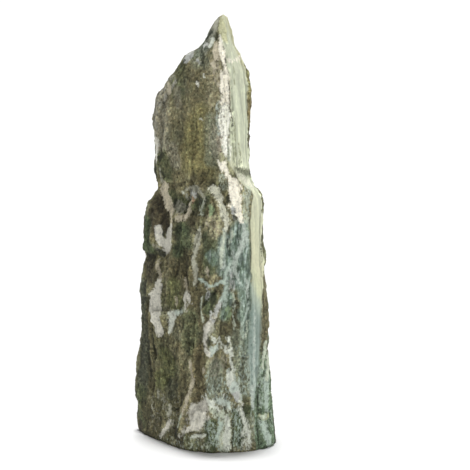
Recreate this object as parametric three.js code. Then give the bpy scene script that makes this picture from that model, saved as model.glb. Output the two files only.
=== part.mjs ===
// A free-standing stone monolith: one pillar of foliated green rock, as it was split from the
// quarry face. It tapers to a broken tip, leans a little to its right, and is sawn flat
// underneath so that it stands.
//
// The stone is one closed solid. Its form is a loft between arrises, the long edges that run
// from the sawn base to the tip. Each face between two arrises then gets the relief of its rock:
// facets and plates broken off along the layers, ribs along the grain, overhanging lips,
// hollows, grooves and cracks.
//
// Millimetres, +Z up, +X to the right of the front view, +Y away from the viewer.
// The origin is on the sawn base, near its middle.

import * as THREE from "three";

// ---------------------------------------------------------------- driving dimensions

const HEIGHT = 1200; // sawn base to tip
const TOP_RING = 1192; // height of the last ring of facets, just under the tip
const TIP = { x: 45, y: 0 }; // where the highest point stands
const ROWS = 76; // rings of facets from the base to the top ring

// The whole stone narrows by this share from base to tip and its middle line moves to the tip,
// so ribs and grain fan out towards the base.
const FAN_NARROWING = 0.35;

// Near the tip there is less rock to break, so the relief fades over this height.
const TIP_FADE = 170;
const TIP_RELIEF_LEFT = 0.15;

// The sawn foot is straighter: the relief grows from this share over this height.
const BASE_FADE = 90;
const BASE_RELIEF_LEFT = 0.45;

// How the rock breaks: the size of one piece across and along the layers, and its depth.
const FACETS = { across: 82, along: 200, depth: 8, seed: 11 };
const PLATES = { across: 38, along: 92, depth: 4.5, seed: 23 };
const RIBS = { across: 23, along: 190, depth: 5, seed: 37 };
const LUMPS = { across: 30, along: 36, depth: 3, seed: 41 };

// Weather has broken the arrises back by up to this much, over this distance to each side.
const ARRIS_WEAR = { depth: 8, reach: 16, across: 26, along: 44, seed: 53 };

// The flat slab starts at this height and is fully flat over the run above it.
const SLAB_FOOT = 730;
const SLAB_RUN = 50;

// The arrises in order round the stone, counter-clockwise from above. Each point is
// [height, x, y]. The rest describes the face that starts at the arris: columns is its number
// of facets, rough is how broken it is and fibre how strongly it is ribbed, both from 0 to 1.
// On the slab above the ledge the rock split flat, and slab is the share of relief it keeps.
const ARRISES = [
  {
    name: "left",
    columns: 4,
    rough: 0.8,
    fibre: 0.5,
    points: [
      [0, -209, 34], [65, -212, 40], [113, -219, 44], [209, -209, 45], [275, -198, 43],
      [324, -195, 42], [424, -198, 45], [514, -180, 50], [564, -189, 50], [627, -187, 50],
      [682, -166, 50], [716, -143, 45], [761, -157, 40], [803, -149, 40], [840, -152, 40],
      [900, -158, 45], [974, -144, 40], [1020, -115, 30], [1064, -82, 20], [1089, -64, 15],
      [1109, -24, 10], [1117, -16, 8], [1130, -8, 5], [1174, 17, 2], [TOP_RING, 32, 1],
    ],
  },
  {
    name: "left_return",
    columns: 7,
    rough: 1,
    fibre: 0.5,
    slab: 0.4,
    points: [
      [0, -175, -22], [103, -178, -12], [200, -172, -6], [341, -176, -2], [442, -176, 0],
      [523, -160, 4], [600, -158, 6], [680, -142, 8], [730, -128, 6], [840, -132, 0],
      [913, -130, -2], [974, -112, -4], [1045, -72, -8], [1089, -44, -10], [1130, -2, -12],
      [TOP_RING, 34, -4],
    ],
  },
  {
    name: "weathered_face",
    columns: 7,
    rough: 1,
    fibre: 0.6,
    slab: 0.25,
    points: [
      [0, -84, -122], [200, -90, -98], [400, -92, -88], [600, -80, -82], [690, -66, -62],
      [760, -38, -62], [920, -36, -60], [1020, -22, -50], [1089, 2, -38], [TOP_RING, 38, -8],
    ],
  },
  {
    name: "front",
    columns: 7,
    rough: 0.7,
    fibre: 1,
    points: [
      [0, 6, -162], [73, 3, -160], [159, -5, -156], [271, -8, -151], [381, -10, -146],
      [464, -5, -141], [600, 4, -129], [694, 20, -120], [754, 53, -100], [841, 57, -95],
      [922, 52, -90], [1001, 47, -80], [1080, 42, -62], [1133, 41, -45], [TOP_RING, 42, -12],
    ],
  },
  {
    name: "slip_face_front",
    columns: 5,
    rough: 0.18,
    fibre: 0.35,
    points: [
      [0, 118, -144], [92, 112, -133], [179, 103, -125], [292, 103, -121], [376, 108, -119],
      [431, 116, -118], [569, 120, -113], [665, 118, -110], [714, 112, -105], [751, 94, -96],
      [799, 86, -92], [894, 80, -87], [974, 74, -80], [1054, 66, -66], [1106, 60, -50],
      [TOP_RING, 48, -12],
    ],
  },
  {
    name: "slip_face_back",
    columns: 3,
    rough: 0.9,
    fibre: 0.5,
    points: [
      [0, 171, -120], [76, 169, -112], [162, 161, -102], [292, 156, -93], [420, 156, -85],
      [547, 150, -76], [698, 149, -64], [722, 138, -58], [756, 120, -48], [794, 111, -38],
      [917, 112, -20], [998, 111, -8], [1051, 103, -4], [1088, 90, -2], [1120, 74, -2],
      [TOP_RING, 56, -4],
    ],
  },
  {
    name: "right",
    columns: 7,
    rough: 1,
    fibre: 0.5,
    points: [
      [0, 197, -72], [96, 191, -64], [166, 179, -58], [264, 176, -52], [366, 178, -46],
      [409, 173, -43], [489, 156, -38], [534, 163, -35], [580, 154, -32], [640, 160, -30],
      [692, 160, -27], [714, 151, -24], [733, 127, -20], [803, 116, -10], [846, 113, -4],
      [913, 122, 6], [957, 129, 12], [1022, 117, 14], [1060, 109, 12], [1090, 99, 10],
      [1114, 80, 8], [1127, 76, 6], [1152, 73, 4], [TOP_RING, 58, 2],
    ],
  },
  {
    name: "back_right",
    columns: 8,
    rough: 1,
    fibre: 0.7,
    points: [
      [0, 168, 78], [140, 160, 84], [300, 148, 74], [470, 150, 80], [610, 136, 72],
      [700, 132, 66], [745, 106, 62], [900, 98, 58], [1010, 96, 46], [1080, 76, 34],
      [1140, 62, 16], [TOP_RING, 54, 6],
    ],
  },
  {
    name: "back",
    columns: 8,
    rough: 1,
    fibre: 0.7,
    points: [
      [0, 34, 152], [160, 44, 146], [330, 30, 138], [480, 36, 126], [640, 18, 122],
      [800, 26, 106], [830, 16, 92], [960, 20, 80], [1050, 26, 58], [1120, 38, 28],
      [TOP_RING, 46, 8],
    ],
  },
  {
    name: "back_left",
    columns: 8,
    rough: 0.9,
    fibre: 0.8,
    points: [
      [0, -138, 136], [120, -146, 130], [290, -126, 128], [430, -132, 116], [560, -116, 116],
      [620, -112, 98], [760, -98, 96], [900, -104, 84], [980, -84, 70], [1060, -40, 48],
      [1120, -2, 24], [TOP_RING, 38, 6],
    ],
  },
];

// Grooves, hollows and ridges. Each is a path of [x, height] points drawn on the front or the
// back of the stone, with the width it reaches to each side and the depth it is cut in there.
// A negative depth is a ridge that stands out.
const FRONT = -1;
const BACK = 1;
const GROOVES = [
  {
    name: "hollow_under_lip",
    side: FRONT,
    width: 42,
    depth: 13,
    path: [[-84, 690], [-46, 694], [-6, 686]],
  },
  { name: "left_crack", side: FRONT, width: 14, depth: 9, path: [[-162, 330], [-154, 248], [-166, 150]] },
  { name: "left_notch", side: FRONT, width: 24, depth: 8, path: [[-186, 520], [-150, 532], [-124, 548]] },
  { name: "brown_trough", side: FRONT, width: 26, depth: 8, path: [[-14, 440], [-18, 306], [-24, 140]] },
  { name: "middle_rib", side: FRONT, width: 26, depth: -8, path: [[-38, 600], [-46, 456], [-56, 330]] },
  {
    name: "low_rib",
    side: FRONT,
    width: 22,
    depth: -7,
    path: [[-46, 255], [-42, 204], [-58, 140], [-80, 50]],
  },
  {
    name: "front_groove",
    side: FRONT,
    width: 18,
    depth: 8,
    path: [[18, 748], [42, 690], [58, 630], [66, 560]],
  },
  { name: "spire_hollow", side: FRONT, width: 16, depth: 8, path: [[8, 1152], [28, 1134]] },
  { name: "right_groove", side: FRONT, width: 14, depth: 4, path: [[141, 230], [146, 0]] },
  { name: "base_split", side: FRONT, width: 18, depth: 8, path: [[-104, 30], [-84, 90], [-72, 150]] },
  { name: "slab_dip", side: FRONT, width: 60, depth: 7, path: [[-60, 1010], [-70, 880]] },
  { name: "slab_swell", side: FRONT, width: 70, depth: -9, path: [[-30, 960], [-50, 820]] },
  { name: "left_body_swell", side: FRONT, width: 46, depth: -9, path: [[-150, 655], [-152, 590]] },
  {
    name: "back_cleft",
    side: BACK,
    width: 22,
    depth: 16,
    path: [[-70, 640], [-58, 480], [-74, 300], [-60, 150]],
  },
  { name: "back_hollow", side: BACK, width: 60, depth: 14, path: [[70, 420], [92, 330]] },
  { name: "back_scar", side: BACK, width: 48, depth: 12, path: [[-20, 900], [-36, 800]] },
  {
    name: "back_ridge",
    side: BACK,
    width: 34,
    depth: -12,
    path: [[-18, 560], [10, 400], [4, 220], [20, 0]],
  },
  { name: "back_crack", side: BACK, width: 14, depth: 10, path: [[86, 690], [72, 590], [88, 470]] },
];

// Lips, where the rock above the path overhangs the rock below it: it stands out by depth at
// the path and runs back into the face over reach.
const LIPS = [
  {
    name: "slab_lip",
    side: FRONT,
    depth: 7,
    reach: 90,
    path: [[-150, 770], [-112, 742], [-87, 738], [-46, 755], [-19, 733], [3, 716], [24, 730], [52, 790]],
  },
  { name: "slip_face_ledge", side: FRONT, depth: 9, reach: 60, path: [[74, 800], [99, 783], [122, 768]] },
  {
    name: "left_body_lip",
    side: FRONT,
    depth: 8,
    reach: 50,
    path: [[-196, 548], [-168, 530], [-140, 540]],
  },
  {
    name: "front_scale",
    side: FRONT,
    depth: 8,
    reach: 70,
    path: [[-20, 410], [10, 380], [44, 392], [60, 420]],
  },
  { name: "base_scale", side: FRONT, depth: 8, reach: 60, path: [[-60, 62], [-30, 56], [-2, 54]] },
  {
    name: "back_shelf",
    side: BACK,
    depth: 15,
    reach: 90,
    path: [[-90, 735], [-40, 700], [10, 720], [70, 690], [110, 705]],
  },
  { name: "back_low_lip", side: BACK, depth: 12, reach: 80, path: [[-130, 260], [-90, 230], [-40, 250]] },
];
const LIP_RUN_IN = 26; // how far past the end of its path a lip dies away

const STONE_COLOUR = 0x75755c;
const STONE_ROUGHNESS = 0.85;

// ---------------------------------------------------------------- noise

const clamp01 = (value) => Math.min(1, Math.max(0, value));
const mix = (a, b, share) => a + (b - a) * share;
const ease = (share) => share * share * (3 - 2 * share);

// A whole-number cell and a seed give one repeatable number from 0 to 1.
function hash(i, j, k, seed) {
  let bits = Math.imul(i, 374761393) + Math.imul(j, 668265263);
  bits = (bits + Math.imul(k, 1440662683) + Math.imul(seed, 1274126177)) | 0;
  bits = Math.imul(bits ^ (bits >>> 13), 1274126177);
  bits ^= bits >>> 16;
  return (bits >>> 0) / 4294967296;
}

// Smooth noise from -1 to 1: hashed corner values of a unit lattice, eased in between.
function smoothNoise(x, y, z, seed) {
  const i = Math.floor(x);
  const j = Math.floor(y);
  const k = Math.floor(z);
  const u = ease(x - i);
  const v = ease(y - j);
  const w = ease(z - k);
  const edge = (dj, dk) => mix(hash(i, j + dj, k + dk, seed), hash(i + 1, j + dj, k + dk, seed), u);
  const low = mix(edge(0, 0), edge(1, 0), v);
  const high = mix(edge(0, 1), edge(1, 1), v);
  return 2 * mix(low, high, w) - 1;
}

// Broken faces from about -1 to 1: each cell of a unit lattice holds one flat facet with its
// own centre, level and tilt, and a point takes the facet whose centre is nearest.
function brokenNoise(x, y, z, seed) {
  const i = Math.floor(x);
  const j = Math.floor(y);
  const k = Math.floor(z);
  let nearest = Infinity;
  let level = 0;
  for (let a = i - 1; a <= i + 1; a++) {
    for (let b = j - 1; b <= j + 1; b++) {
      for (let c = k - 1; c <= k + 1; c++) {
        const dx = x - a - hash(a, b, c, seed);
        const dy = y - b - hash(a, b, c, seed + 1);
        const dz = z - c - hash(a, b, c, seed + 2);
        const distance = dx * dx + dy * dy + dz * dz;
        if (distance < nearest) {
          nearest = distance;
          const tiltX = hash(a, b, c, seed + 3) - 0.5;
          const tiltY = hash(a, b, c, seed + 4) - 0.5;
          const tiltZ = hash(a, b, c, seed + 5) - 0.5;
          level = 1.4 * (hash(a, b, c, seed + 6) - 0.5) + tiltX * dx + tiltY * dy + tiltZ * dz;
        }
      }
    }
  }
  return level;
}

// ---------------------------------------------------------------- relief

// Where a path of [height, x, y] points stands at a height.
function arrisAt(points, height) {
  let index = 1;
  while (index < points.length - 1 && points[index][0] < height) {
    index += 1;
  }
  const [lowHeight, lowX, lowY] = points[index - 1];
  const [highHeight, highX, highY] = points[index];
  const share = clamp01((height - lowHeight) / (highHeight - lowHeight));
  return new THREE.Vector2(mix(lowX, highX, share), mix(lowY, highY, share));
}

// The distance from [x, z] to a path of [x, z] points.
function distanceToPath(x, z, path) {
  let nearest = Infinity;
  for (let index = 1; index < path.length; index++) {
    const [startX, startZ] = path[index - 1];
    const [endX, endZ] = path[index];
    const runX = endX - startX;
    const runZ = endZ - startZ;
    const along = clamp01(((x - startX) * runX + (z - startZ) * runZ) / (runX * runX + runZ * runZ));
    nearest = Math.min(nearest, Math.hypot(x - startX - along * runX, z - startZ - along * runZ));
  }
  return nearest;
}

// How far a groove is cut in at [x, z]: its full depth on the path, nothing at its width.
function grooveDepth(x, z, groove) {
  const share = clamp01(1 - distanceToPath(x, z, groove.path) / groove.width);
  return groove.depth * ease(share);
}

// How far a lip stands out at [x, z].
function lipHeight(x, z, lip) {
  const first = lip.path[0];
  const last = lip.path[lip.path.length - 1];
  const inRun = clamp01((x - first[0]) / LIP_RUN_IN) * clamp01((last[0] - x) / LIP_RUN_IN);
  if (inRun === 0) {
    return 0;
  }
  let index = 1;
  while (index < lip.path.length - 1 && lip.path[index][0] < x) {
    index += 1;
  }
  const [startX, startZ] = lip.path[index - 1];
  const [endX, endZ] = lip.path[index];
  const above = z - mix(startZ, endZ, (x - startX) / (endX - startX));
  return above < 0 ? 0 : lip.depth * inRun * clamp01(1 - above / lip.reach);
}

// How far the rock stands out from its face at a point, with the face's rough and fibre.
function relief(x, y, z, rough, fibre, arrisDistance, side) {
  const rise = z / HEIGHT;
  const narrowing = 1 - FAN_NARROWING * rise;
  const fanX = (x - TIP.x * rise) / narrowing;
  const fanY = (y - TIP.y * rise) / narrowing;
  const layer = (noise, kind) =>
    kind.depth * noise(fanX / kind.across, fanY / kind.across, z / kind.along, kind.seed);
  let height = rough * (layer(brokenNoise, FACETS) + layer(brokenNoise, PLATES));
  height += rough * layer(smoothNoise, LUMPS) + fibre * layer(smoothNoise, RIBS);
  const wear = clamp01(1 - arrisDistance / ARRIS_WEAR.reach);
  height -= wear * 0.5 * (ARRIS_WEAR.depth + layer(smoothNoise, ARRIS_WEAR));
  for (const groove of GROOVES.filter((each) => each.side === side)) {
    height -= grooveDepth(x, z, groove);
  }
  for (const lip of LIPS.filter((each) => each.side === side)) {
    height += lipHeight(x, z, lip);
  }
  height *= mix(TIP_RELIEF_LEFT, 1, clamp01((HEIGHT - z) / TIP_FADE));
  return height * mix(BASE_RELIEF_LEFT, 1, clamp01(z / BASE_FADE));
}

// ---------------------------------------------------------------- the stone

// One ring of points round the stone at a height, counter-clockwise from above.
function ringAt(height) {
  const corners = ARRISES.map((arris) => arrisAt(arris.points, height));
  const count = corners.length;
  const faceNormal = (index) => {
    const run = corners[(index + 1) % count].clone().sub(corners[index]);
    return new THREE.Vector2(run.y, -run.x).normalize();
  };
  const cornerNormal = (index) =>
    faceNormal(index % count).add(faceNormal((index + count - 1) % count)).normalize();
  const ring = [];
  ARRISES.forEach((face, index) => {
    const previous = ARRISES[(index + count - 1) % count];
    const start = corners[index];
    const end = corners[(index + 1) % count];
    const width = start.distanceTo(end);
    for (let column = 0; column < face.columns; column++) {
      const share = column / face.columns;
      const flat = start.clone().lerp(end, share);
      const outward = cornerNormal(index).lerp(cornerNormal(index + 1), share).normalize();
      const atArris = column === 0 ? 0.5 : 1;
      const slab = mix(previous.slab ?? 1, face.slab ?? 1, atArris);
      const kept = mix(1, slab, ease(clamp01((height - SLAB_FOOT) / SLAB_RUN)));
      const rough = kept * mix(previous.rough, face.rough, atArris);
      const fibre = kept * mix(previous.fibre, face.fibre, atArris);
      const arrisDistance = width * Math.min(share, 1 - share);
      const side = outward.y < 0 || face.name === "left" ? FRONT : BACK;
      const out = relief(flat.x, flat.y, height, rough, fibre, arrisDistance, side);
      ring.push(flat.addScaledVector(outward, out));
    }
  });
  return ring;
}

// The closed surface: rings from base to top, a fan to the tip and a flat fan under the base.
function stoneGeometry() {
  const positions = [];
  for (let row = 0; row < ROWS; row++) {
    const height = (TOP_RING * row) / (ROWS - 1);
    ringAt(height).forEach((point) => positions.push(point.x, point.y, height));
  }
  const around = positions.length / 3 / ROWS;
  const tip = positions.length / 3;
  const baseMiddle = tip + 1;
  positions.push(TIP.x, TIP.y, HEIGHT, 0, 0, 0);

  const triangles = [];
  for (let column = 0; column < around; column++) {
    const next = (column + 1) % around;
    triangles.push(baseMiddle, next, column);
    for (let row = 0; row < ROWS - 1; row++) {
      const low = row * around;
      const high = low + around;
      triangles.push(low + column, low + next, high + next);
      triangles.push(low + column, high + next, high + column);
    }
    const top = (ROWS - 1) * around;
    triangles.push(top + column, top + next, tip);
  }

  const geometry = new THREE.BufferGeometry();
  geometry.setAttribute("position", new THREE.Float32BufferAttribute(positions, 3));
  geometry.setIndex(triangles);
  geometry.computeVertexNormals();
  return geometry;
}

const monolith = new THREE.Mesh(
  stoneGeometry(),
  new THREE.MeshStandardMaterial({ color: STONE_COLOUR, roughness: STONE_ROUGHNESS, metalness: 0 }),
);
monolith.name = "monolith";

const group = new THREE.Group();
group.name = "stone_monolith";
group.add(monolith);

export default group;
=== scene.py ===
# %% [markdown]
# # A green and white stone monolith
# The real object is one natural stone: a pillar of green schist, a rock made of thin layers,
# split off along those layers at the quarry. White and pale green minerals fill its old
# cracks. The lower end is sawn flat, so it stands free in a garden.
# Everything here is one piece of mesh on one body, dressed with one rock material.

import bpy
import numpy as np
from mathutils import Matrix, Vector


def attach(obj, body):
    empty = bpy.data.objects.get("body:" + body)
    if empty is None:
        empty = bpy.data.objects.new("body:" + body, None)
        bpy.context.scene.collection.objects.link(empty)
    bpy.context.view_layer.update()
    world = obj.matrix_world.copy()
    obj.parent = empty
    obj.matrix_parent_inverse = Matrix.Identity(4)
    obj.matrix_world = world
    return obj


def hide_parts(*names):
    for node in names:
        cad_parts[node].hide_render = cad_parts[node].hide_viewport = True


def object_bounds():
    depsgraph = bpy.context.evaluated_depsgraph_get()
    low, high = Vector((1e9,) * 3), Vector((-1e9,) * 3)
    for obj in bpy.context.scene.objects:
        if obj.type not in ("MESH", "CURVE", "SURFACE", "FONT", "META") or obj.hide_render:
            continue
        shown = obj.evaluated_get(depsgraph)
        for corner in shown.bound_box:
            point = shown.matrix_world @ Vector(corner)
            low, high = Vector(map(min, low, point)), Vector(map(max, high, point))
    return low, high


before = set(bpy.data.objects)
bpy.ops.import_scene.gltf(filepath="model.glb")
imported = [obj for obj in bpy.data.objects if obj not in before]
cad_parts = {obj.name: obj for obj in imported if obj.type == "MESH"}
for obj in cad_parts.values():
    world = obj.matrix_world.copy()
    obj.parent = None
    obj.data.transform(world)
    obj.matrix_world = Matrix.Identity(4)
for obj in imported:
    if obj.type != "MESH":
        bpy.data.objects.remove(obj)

cad_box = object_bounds()
print("the solid runs from", [round(float(v), 3) for v in cad_box[0]],
      "to", [round(float(v), 3) for v in cad_box[1]])

# %% [markdown]
# ## The shape: a loft between long edges
# A split pillar is bounded by a few long edges, its arrises, and two faces meet at each one.
# The stone could be sculpted by hand or grown from noise, but then it would not keep its faces.
# Here each arris is a path with a point at every bend, and a ring of the stone at any height is
# the polygon through all the arrises at that height. The numbers are in millimetres, as a
# mason would measure them, and become metres when the mesh is made.

# %% Arrises, in order round the stone, counter-clockwise from above
MM = 0.001                                # one millimetre in Blender's metres
HEIGHT = 1200.0                           # sawn base to tip
TOP_RING = 1192.0                         # the last ring under the tip
TIP = (45.0, 0.0)                         # where the tip stands, x and y
RINGS = 332                               # from the base to the top ring

# Each point is (height, x, y). The face that starts at an arris has its number of columns of
# mesh, and is rough and ribbed (fibre) by its shares. On the slab at the upper left the rock
# split flat, and a face keeps only its slab share of relief there.
ARRISES = {
    "left": dict(columns=16, rough=0.8, fibre=0.5, points=(
        (0, -209, 34), (65, -212, 40), (113, -219, 44), (209, -209, 45), (275, -198, 43),
        (324, -195, 42), (424, -198, 45), (514, -180, 50), (564, -189, 50), (627, -187, 50),
        (682, -166, 50), (716, -143, 45), (761, -157, 40), (803, -149, 40), (840, -152, 40),
        (900, -158, 45), (974, -144, 40), (1020, -115, 30), (1064, -82, 20), (1089, -64, 15),
        (1109, -24, 10), (1117, -16, 8), (1130, -8, 5), (1174, 17, 2), (TOP_RING, 32, 1))),
    "left_return": dict(columns=28, rough=1.0, fibre=0.5, slab=0.4, points=(
        (0, -175, -22), (103, -178, -12), (200, -172, -6), (341, -176, -2), (442, -176, 0),
        (523, -160, 4), (600, -158, 6), (680, -142, 8), (730, -128, 6), (840, -132, 0),
        (913, -130, -2), (974, -112, -4), (1045, -72, -8), (1089, -44, -10), (1130, -2, -12),
        (TOP_RING, 34, -4))),
    "weathered_face": dict(columns=36, rough=1.0, fibre=0.6, slab=0.25, points=(
        (0, -84, -122), (200, -90, -98), (400, -92, -88), (600, -80, -82), (690, -66, -62),
        (760, -38, -62), (920, -36, -60), (1020, -22, -50), (1089, 2, -38),
        (TOP_RING, 38, -8))),
    "front": dict(columns=38, rough=0.7, fibre=1.0, points=(
        (0, 6, -162), (73, 3, -160), (159, -5, -156), (271, -8, -151), (381, -10, -146),
        (464, -5, -141), (600, 4, -129), (694, 20, -120), (754, 53, -100), (841, 57, -95),
        (922, 52, -90), (1001, 47, -80), (1080, 42, -62), (1133, 41, -45),
        (TOP_RING, 42, -12))),
    "slip_face_front": dict(columns=24, rough=0.18, fibre=0.35, points=(
        (0, 118, -144), (92, 112, -133), (179, 103, -125), (292, 103, -121), (376, 108, -119),
        (431, 116, -118), (569, 120, -113), (665, 118, -110), (714, 112, -105),
        (751, 94, -96), (799, 86, -92), (894, 80, -87), (974, 74, -80), (1054, 66, -66),
        (1106, 60, -50), (TOP_RING, 48, -12))),
    "slip_face_back": dict(columns=14, rough=0.9, fibre=0.5, points=(
        (0, 171, -120), (76, 169, -112), (162, 161, -102), (292, 156, -93), (420, 156, -85),
        (547, 150, -76), (698, 149, -64), (722, 138, -58), (756, 120, -48), (794, 111, -38),
        (917, 112, -20), (998, 111, -8), (1051, 103, -4), (1088, 90, -2), (1120, 74, -2),
        (TOP_RING, 56, -4))),
    "right": dict(columns=32, rough=1.0, fibre=0.5, points=(
        (0, 197, -72), (96, 191, -64), (166, 179, -58), (264, 176, -52), (366, 178, -46),
        (409, 173, -43), (489, 156, -38), (534, 163, -35), (580, 154, -32), (640, 160, -30),
        (692, 160, -27), (714, 151, -24), (733, 127, -20), (803, 116, -10), (846, 113, -4),
        (913, 122, 6), (957, 129, 12), (1022, 117, 14), (1060, 109, 12), (1090, 99, 10),
        (1114, 80, 8), (1127, 76, 6), (1152, 73, 4), (TOP_RING, 58, 2))),
    "back_right": dict(columns=40, rough=1.0, fibre=0.7, points=(
        (0, 168, 78), (140, 160, 84), (300, 148, 74), (470, 150, 80), (610, 136, 72),
        (700, 132, 66), (745, 106, 62), (900, 98, 58), (1010, 96, 46), (1080, 76, 34),
        (1140, 62, 16), (TOP_RING, 54, 6))),
    "back": dict(columns=38, rough=1.0, fibre=0.7, points=(
        (0, 34, 152), (160, 44, 146), (330, 30, 138), (480, 36, 126), (640, 18, 122),
        (800, 26, 106), (830, 16, 92), (960, 20, 80), (1050, 26, 58), (1120, 38, 28),
        (TOP_RING, 46, 8))),
    "back_left": dict(columns=34, rough=0.9, fibre=0.8, points=(
        (0, -138, 136), (120, -146, 130), (290, -126, 128), (430, -132, 116), (560, -116, 116),
        (620, -112, 98), (760, -98, 96), (900, -104, 84), (980, -84, 70), (1060, -40, 48),
        (1120, -2, 24), (TOP_RING, 38, 6))),
}

# %% Rings of the flat-faced stone, as whole arrays
ring_height = np.linspace(0.0, TOP_RING, RINGS)


def arris_track(axis):
    """x (axis 1) or y (axis 2) of every arris at every ring: straight between its points."""
    tracks = [np.interp(ring_height, *np.array(arris["points"]).T[[0, axis]])
              for arris in ARRISES.values()]
    return np.stack(tracks, axis=1)


corner_x = arris_track(1)
corner_y = arris_track(2)
columns = np.array([arris["columns"] for arris in ARRISES.values()])
FRONT_ARRIS = list(ARRISES).index("front")

# Outward direction of each flat face, and of each arris as the mean of its two faces.
run_x = np.roll(corner_x, -1, axis=1) - corner_x
run_y = np.roll(corner_y, -1, axis=1) - corner_y
face_width = np.hypot(run_x, run_y)
out_x = run_y / face_width + np.roll(run_y / face_width, 1, axis=1)
out_y = -run_x / face_width - np.roll(run_x / face_width, 1, axis=1)

face = np.repeat(np.arange(len(columns)), columns)
share = np.concatenate([np.arange(count) / count for count in columns])
next_face = (face + 1) % len(columns)


def across_faces(at_arris):
    """A value at every grid point: the values at its face's two arrises, mixed by share."""
    return at_arris[:, face] * (1 - share) + at_arris[:, next_face] * share


flat_x = across_faces(corner_x)
flat_y = across_faces(corner_y)
normal_x = across_faces(out_x)
normal_y = across_faces(out_y)
normal_length = np.hypot(normal_x, normal_y)
normal_x /= normal_length
normal_y /= normal_length
flat_z = np.broadcast_to(ring_height[:, None], flat_x.shape)

# Unrolled distance round the stone from the front arris, negative to its left.
face_start = np.cumsum(face_width, axis=1) - face_width
around = face_start[:, face] + face_width[:, face] * share - face_start[:, [FRONT_ARRIS]]
arris_distance = face_width[:, face] * np.minimum(share, 1 - share)
print("grid of", flat_x.shape, "points, girth at the base", round(face_width[0].sum()), "mm")

# %% [markdown]
# ## How rock breaks
# Noise alone looks like clay. Split schist breaks into facets and plates with flat faces and
# sharp steps, stretched along its layers, so the main relief comes from a cell pattern: each
# cell is one flat facet with its own level and tilt. Smooth noise is only for swellings and
# fine grain. Both come from one hash of whole numbers, so they repeat on every run.

# %% Hash, smooth noise and broken noise
MIXERS = (374761393, 668265263, 1440662683)   # large odd numbers, one for each axis
SEED_MIXER = 1274126177
BITS = 32                                 # the hash keeps this many bits
FIRST_SHIFT, LAST_SHIFT = np.uint32(13), np.uint32(16)
LEVEL_WEIGHT = 1.4                        # a facet's level counts this much against its tilt


def hashed(i, j, k, seed):
    """A number from 0 to 1 for each whole-number cell: multiply, shift and mix its bits."""
    with np.errstate(over="ignore"):
        bits = sum(n.astype(np.int64) * mixer for n, mixer in zip((i, j, k), MIXERS))
        bits = ((bits + seed * SEED_MIXER) % 2 ** BITS).astype(np.uint32)
        bits = (bits ^ (bits >> FIRST_SHIFT)) * np.uint32(SEED_MIXER)
        bits = bits ^ (bits >> LAST_SHIFT)
    return bits / 2.0 ** BITS


def smooth_noise(x, y, z, seed):
    """Noise from -1 to 1: hashed values at the corners of a unit lattice, eased in between."""
    i, j, k = np.floor(x), np.floor(y), np.floor(z)
    u, v, w = ((f * f * (3 - 2 * f)) for f in (x - i, y - j, z - k))
    value = 0.0
    for di, dj, dk in np.ndindex(2, 2, 2):
        weight = (u if di else 1 - u) * (v if dj else 1 - v) * (w if dk else 1 - w)
        value = value + weight * hashed(i + di, j + dj, k + dk, seed)
    return 2 * value - 1


def broken_noise(x, y, z, seed):
    """Flat facets from about -1 to 1: the nearest cell centre lends its level and its tilt.
    Seven seeds in a row make them: three place the centre, three tilt it, one gives its level."""
    i, j, k = np.floor(x), np.floor(y), np.floor(z)
    nearest = np.full(x.shape, np.inf)
    owner = [np.zeros(x.shape) for _ in range(6)]
    for di, dj, dk in np.ndindex(3, 3, 3):
        cell = (i + di - 1, j + dj - 1, k + dk - 1)
        offset = [p - c - hashed(*cell, seed + n) for n, (p, c) in enumerate(zip((x, y, z), cell))]
        distance = offset[0] ** 2 + offset[1] ** 2 + offset[2] ** 2
        closer = distance < nearest
        nearest = np.where(closer, distance, nearest)
        owner = [np.where(closer, new, old) for new, old in zip((*cell, *offset), owner)]
    level = LEVEL_WEIGHT * (hashed(*owner[:3], seed + 6) - 0.5)
    for n in range(3):
        level = level + (hashed(*owner[:3], seed + 3 + n) - 0.5) * owner[3 + n]
    return level


def ease(value):
    """Smooth step: 0 below 0, 1 above 1, and eased in between."""
    value = np.clip(value, 0.0, 1.0)
    return value * value * (3 - 2 * value)


# %% Noise that follows the stone
FAN_NARROWING = 0.35                      # the grain narrows by this share from base to tip
rise = flat_z / HEIGHT
fan_x = (flat_x - TIP[0] * rise) / (1 - FAN_NARROWING * rise)
fan_y = (flat_y - TIP[1] * rise) / (1 - FAN_NARROWING * rise)


def layer(noise, across, along, depth, seed):
    """A noise on the stone: its pieces are so many mm across and along, times its depth."""
    return depth * noise(fan_x / across, fan_y / across, flat_z / along, seed)


# Each layer of relief: noise, size of its pieces across and along, depth (all in mm), seed.
# The solid carries the first five; the last three are finer than its triangles.
ARRIS_WEAR = 4.0                          # an arris is worn back by this, give or take as much
RELIEF_LAYERS = {
    "facets": (broken_noise, 82, 200, 8.0, 11),
    "plates": (broken_noise, 38, 92, 4.5, 23),
    "lumps": (smooth_noise, 30, 36, 3.0, 41),
    "ribs": (smooth_noise, 23, 190, 5.0, 37),
    "worn": (smooth_noise, 26, 44, ARRIS_WEAR, 53),
    "flakes": (broken_noise, 17, 38, 2.6, 61),
    "chips": (broken_noise, 8.5, 15, 1.5, 71),
    "grit": (smooth_noise, 5.5, 6.5, 1.1, 83),
}
facets, plates, lumps, ribs, worn, flakes, chips, grit = (
    layer(*numbers) for numbers in RELIEF_LAYERS.values())
print("layers of relief:", ", ".join(RELIEF_LAYERS))

# %% [markdown]
# ## The breaks that have a name
# Noise gives the stone its texture but not its character. A few cracks, ribs, hollows and
# overhanging lips can be told apart from across a garden, so each has its own place. A groove
# or a rib runs along a path and eases out to its sides. A lip stands out above its path, where
# the rock below it has broken away.

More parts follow.
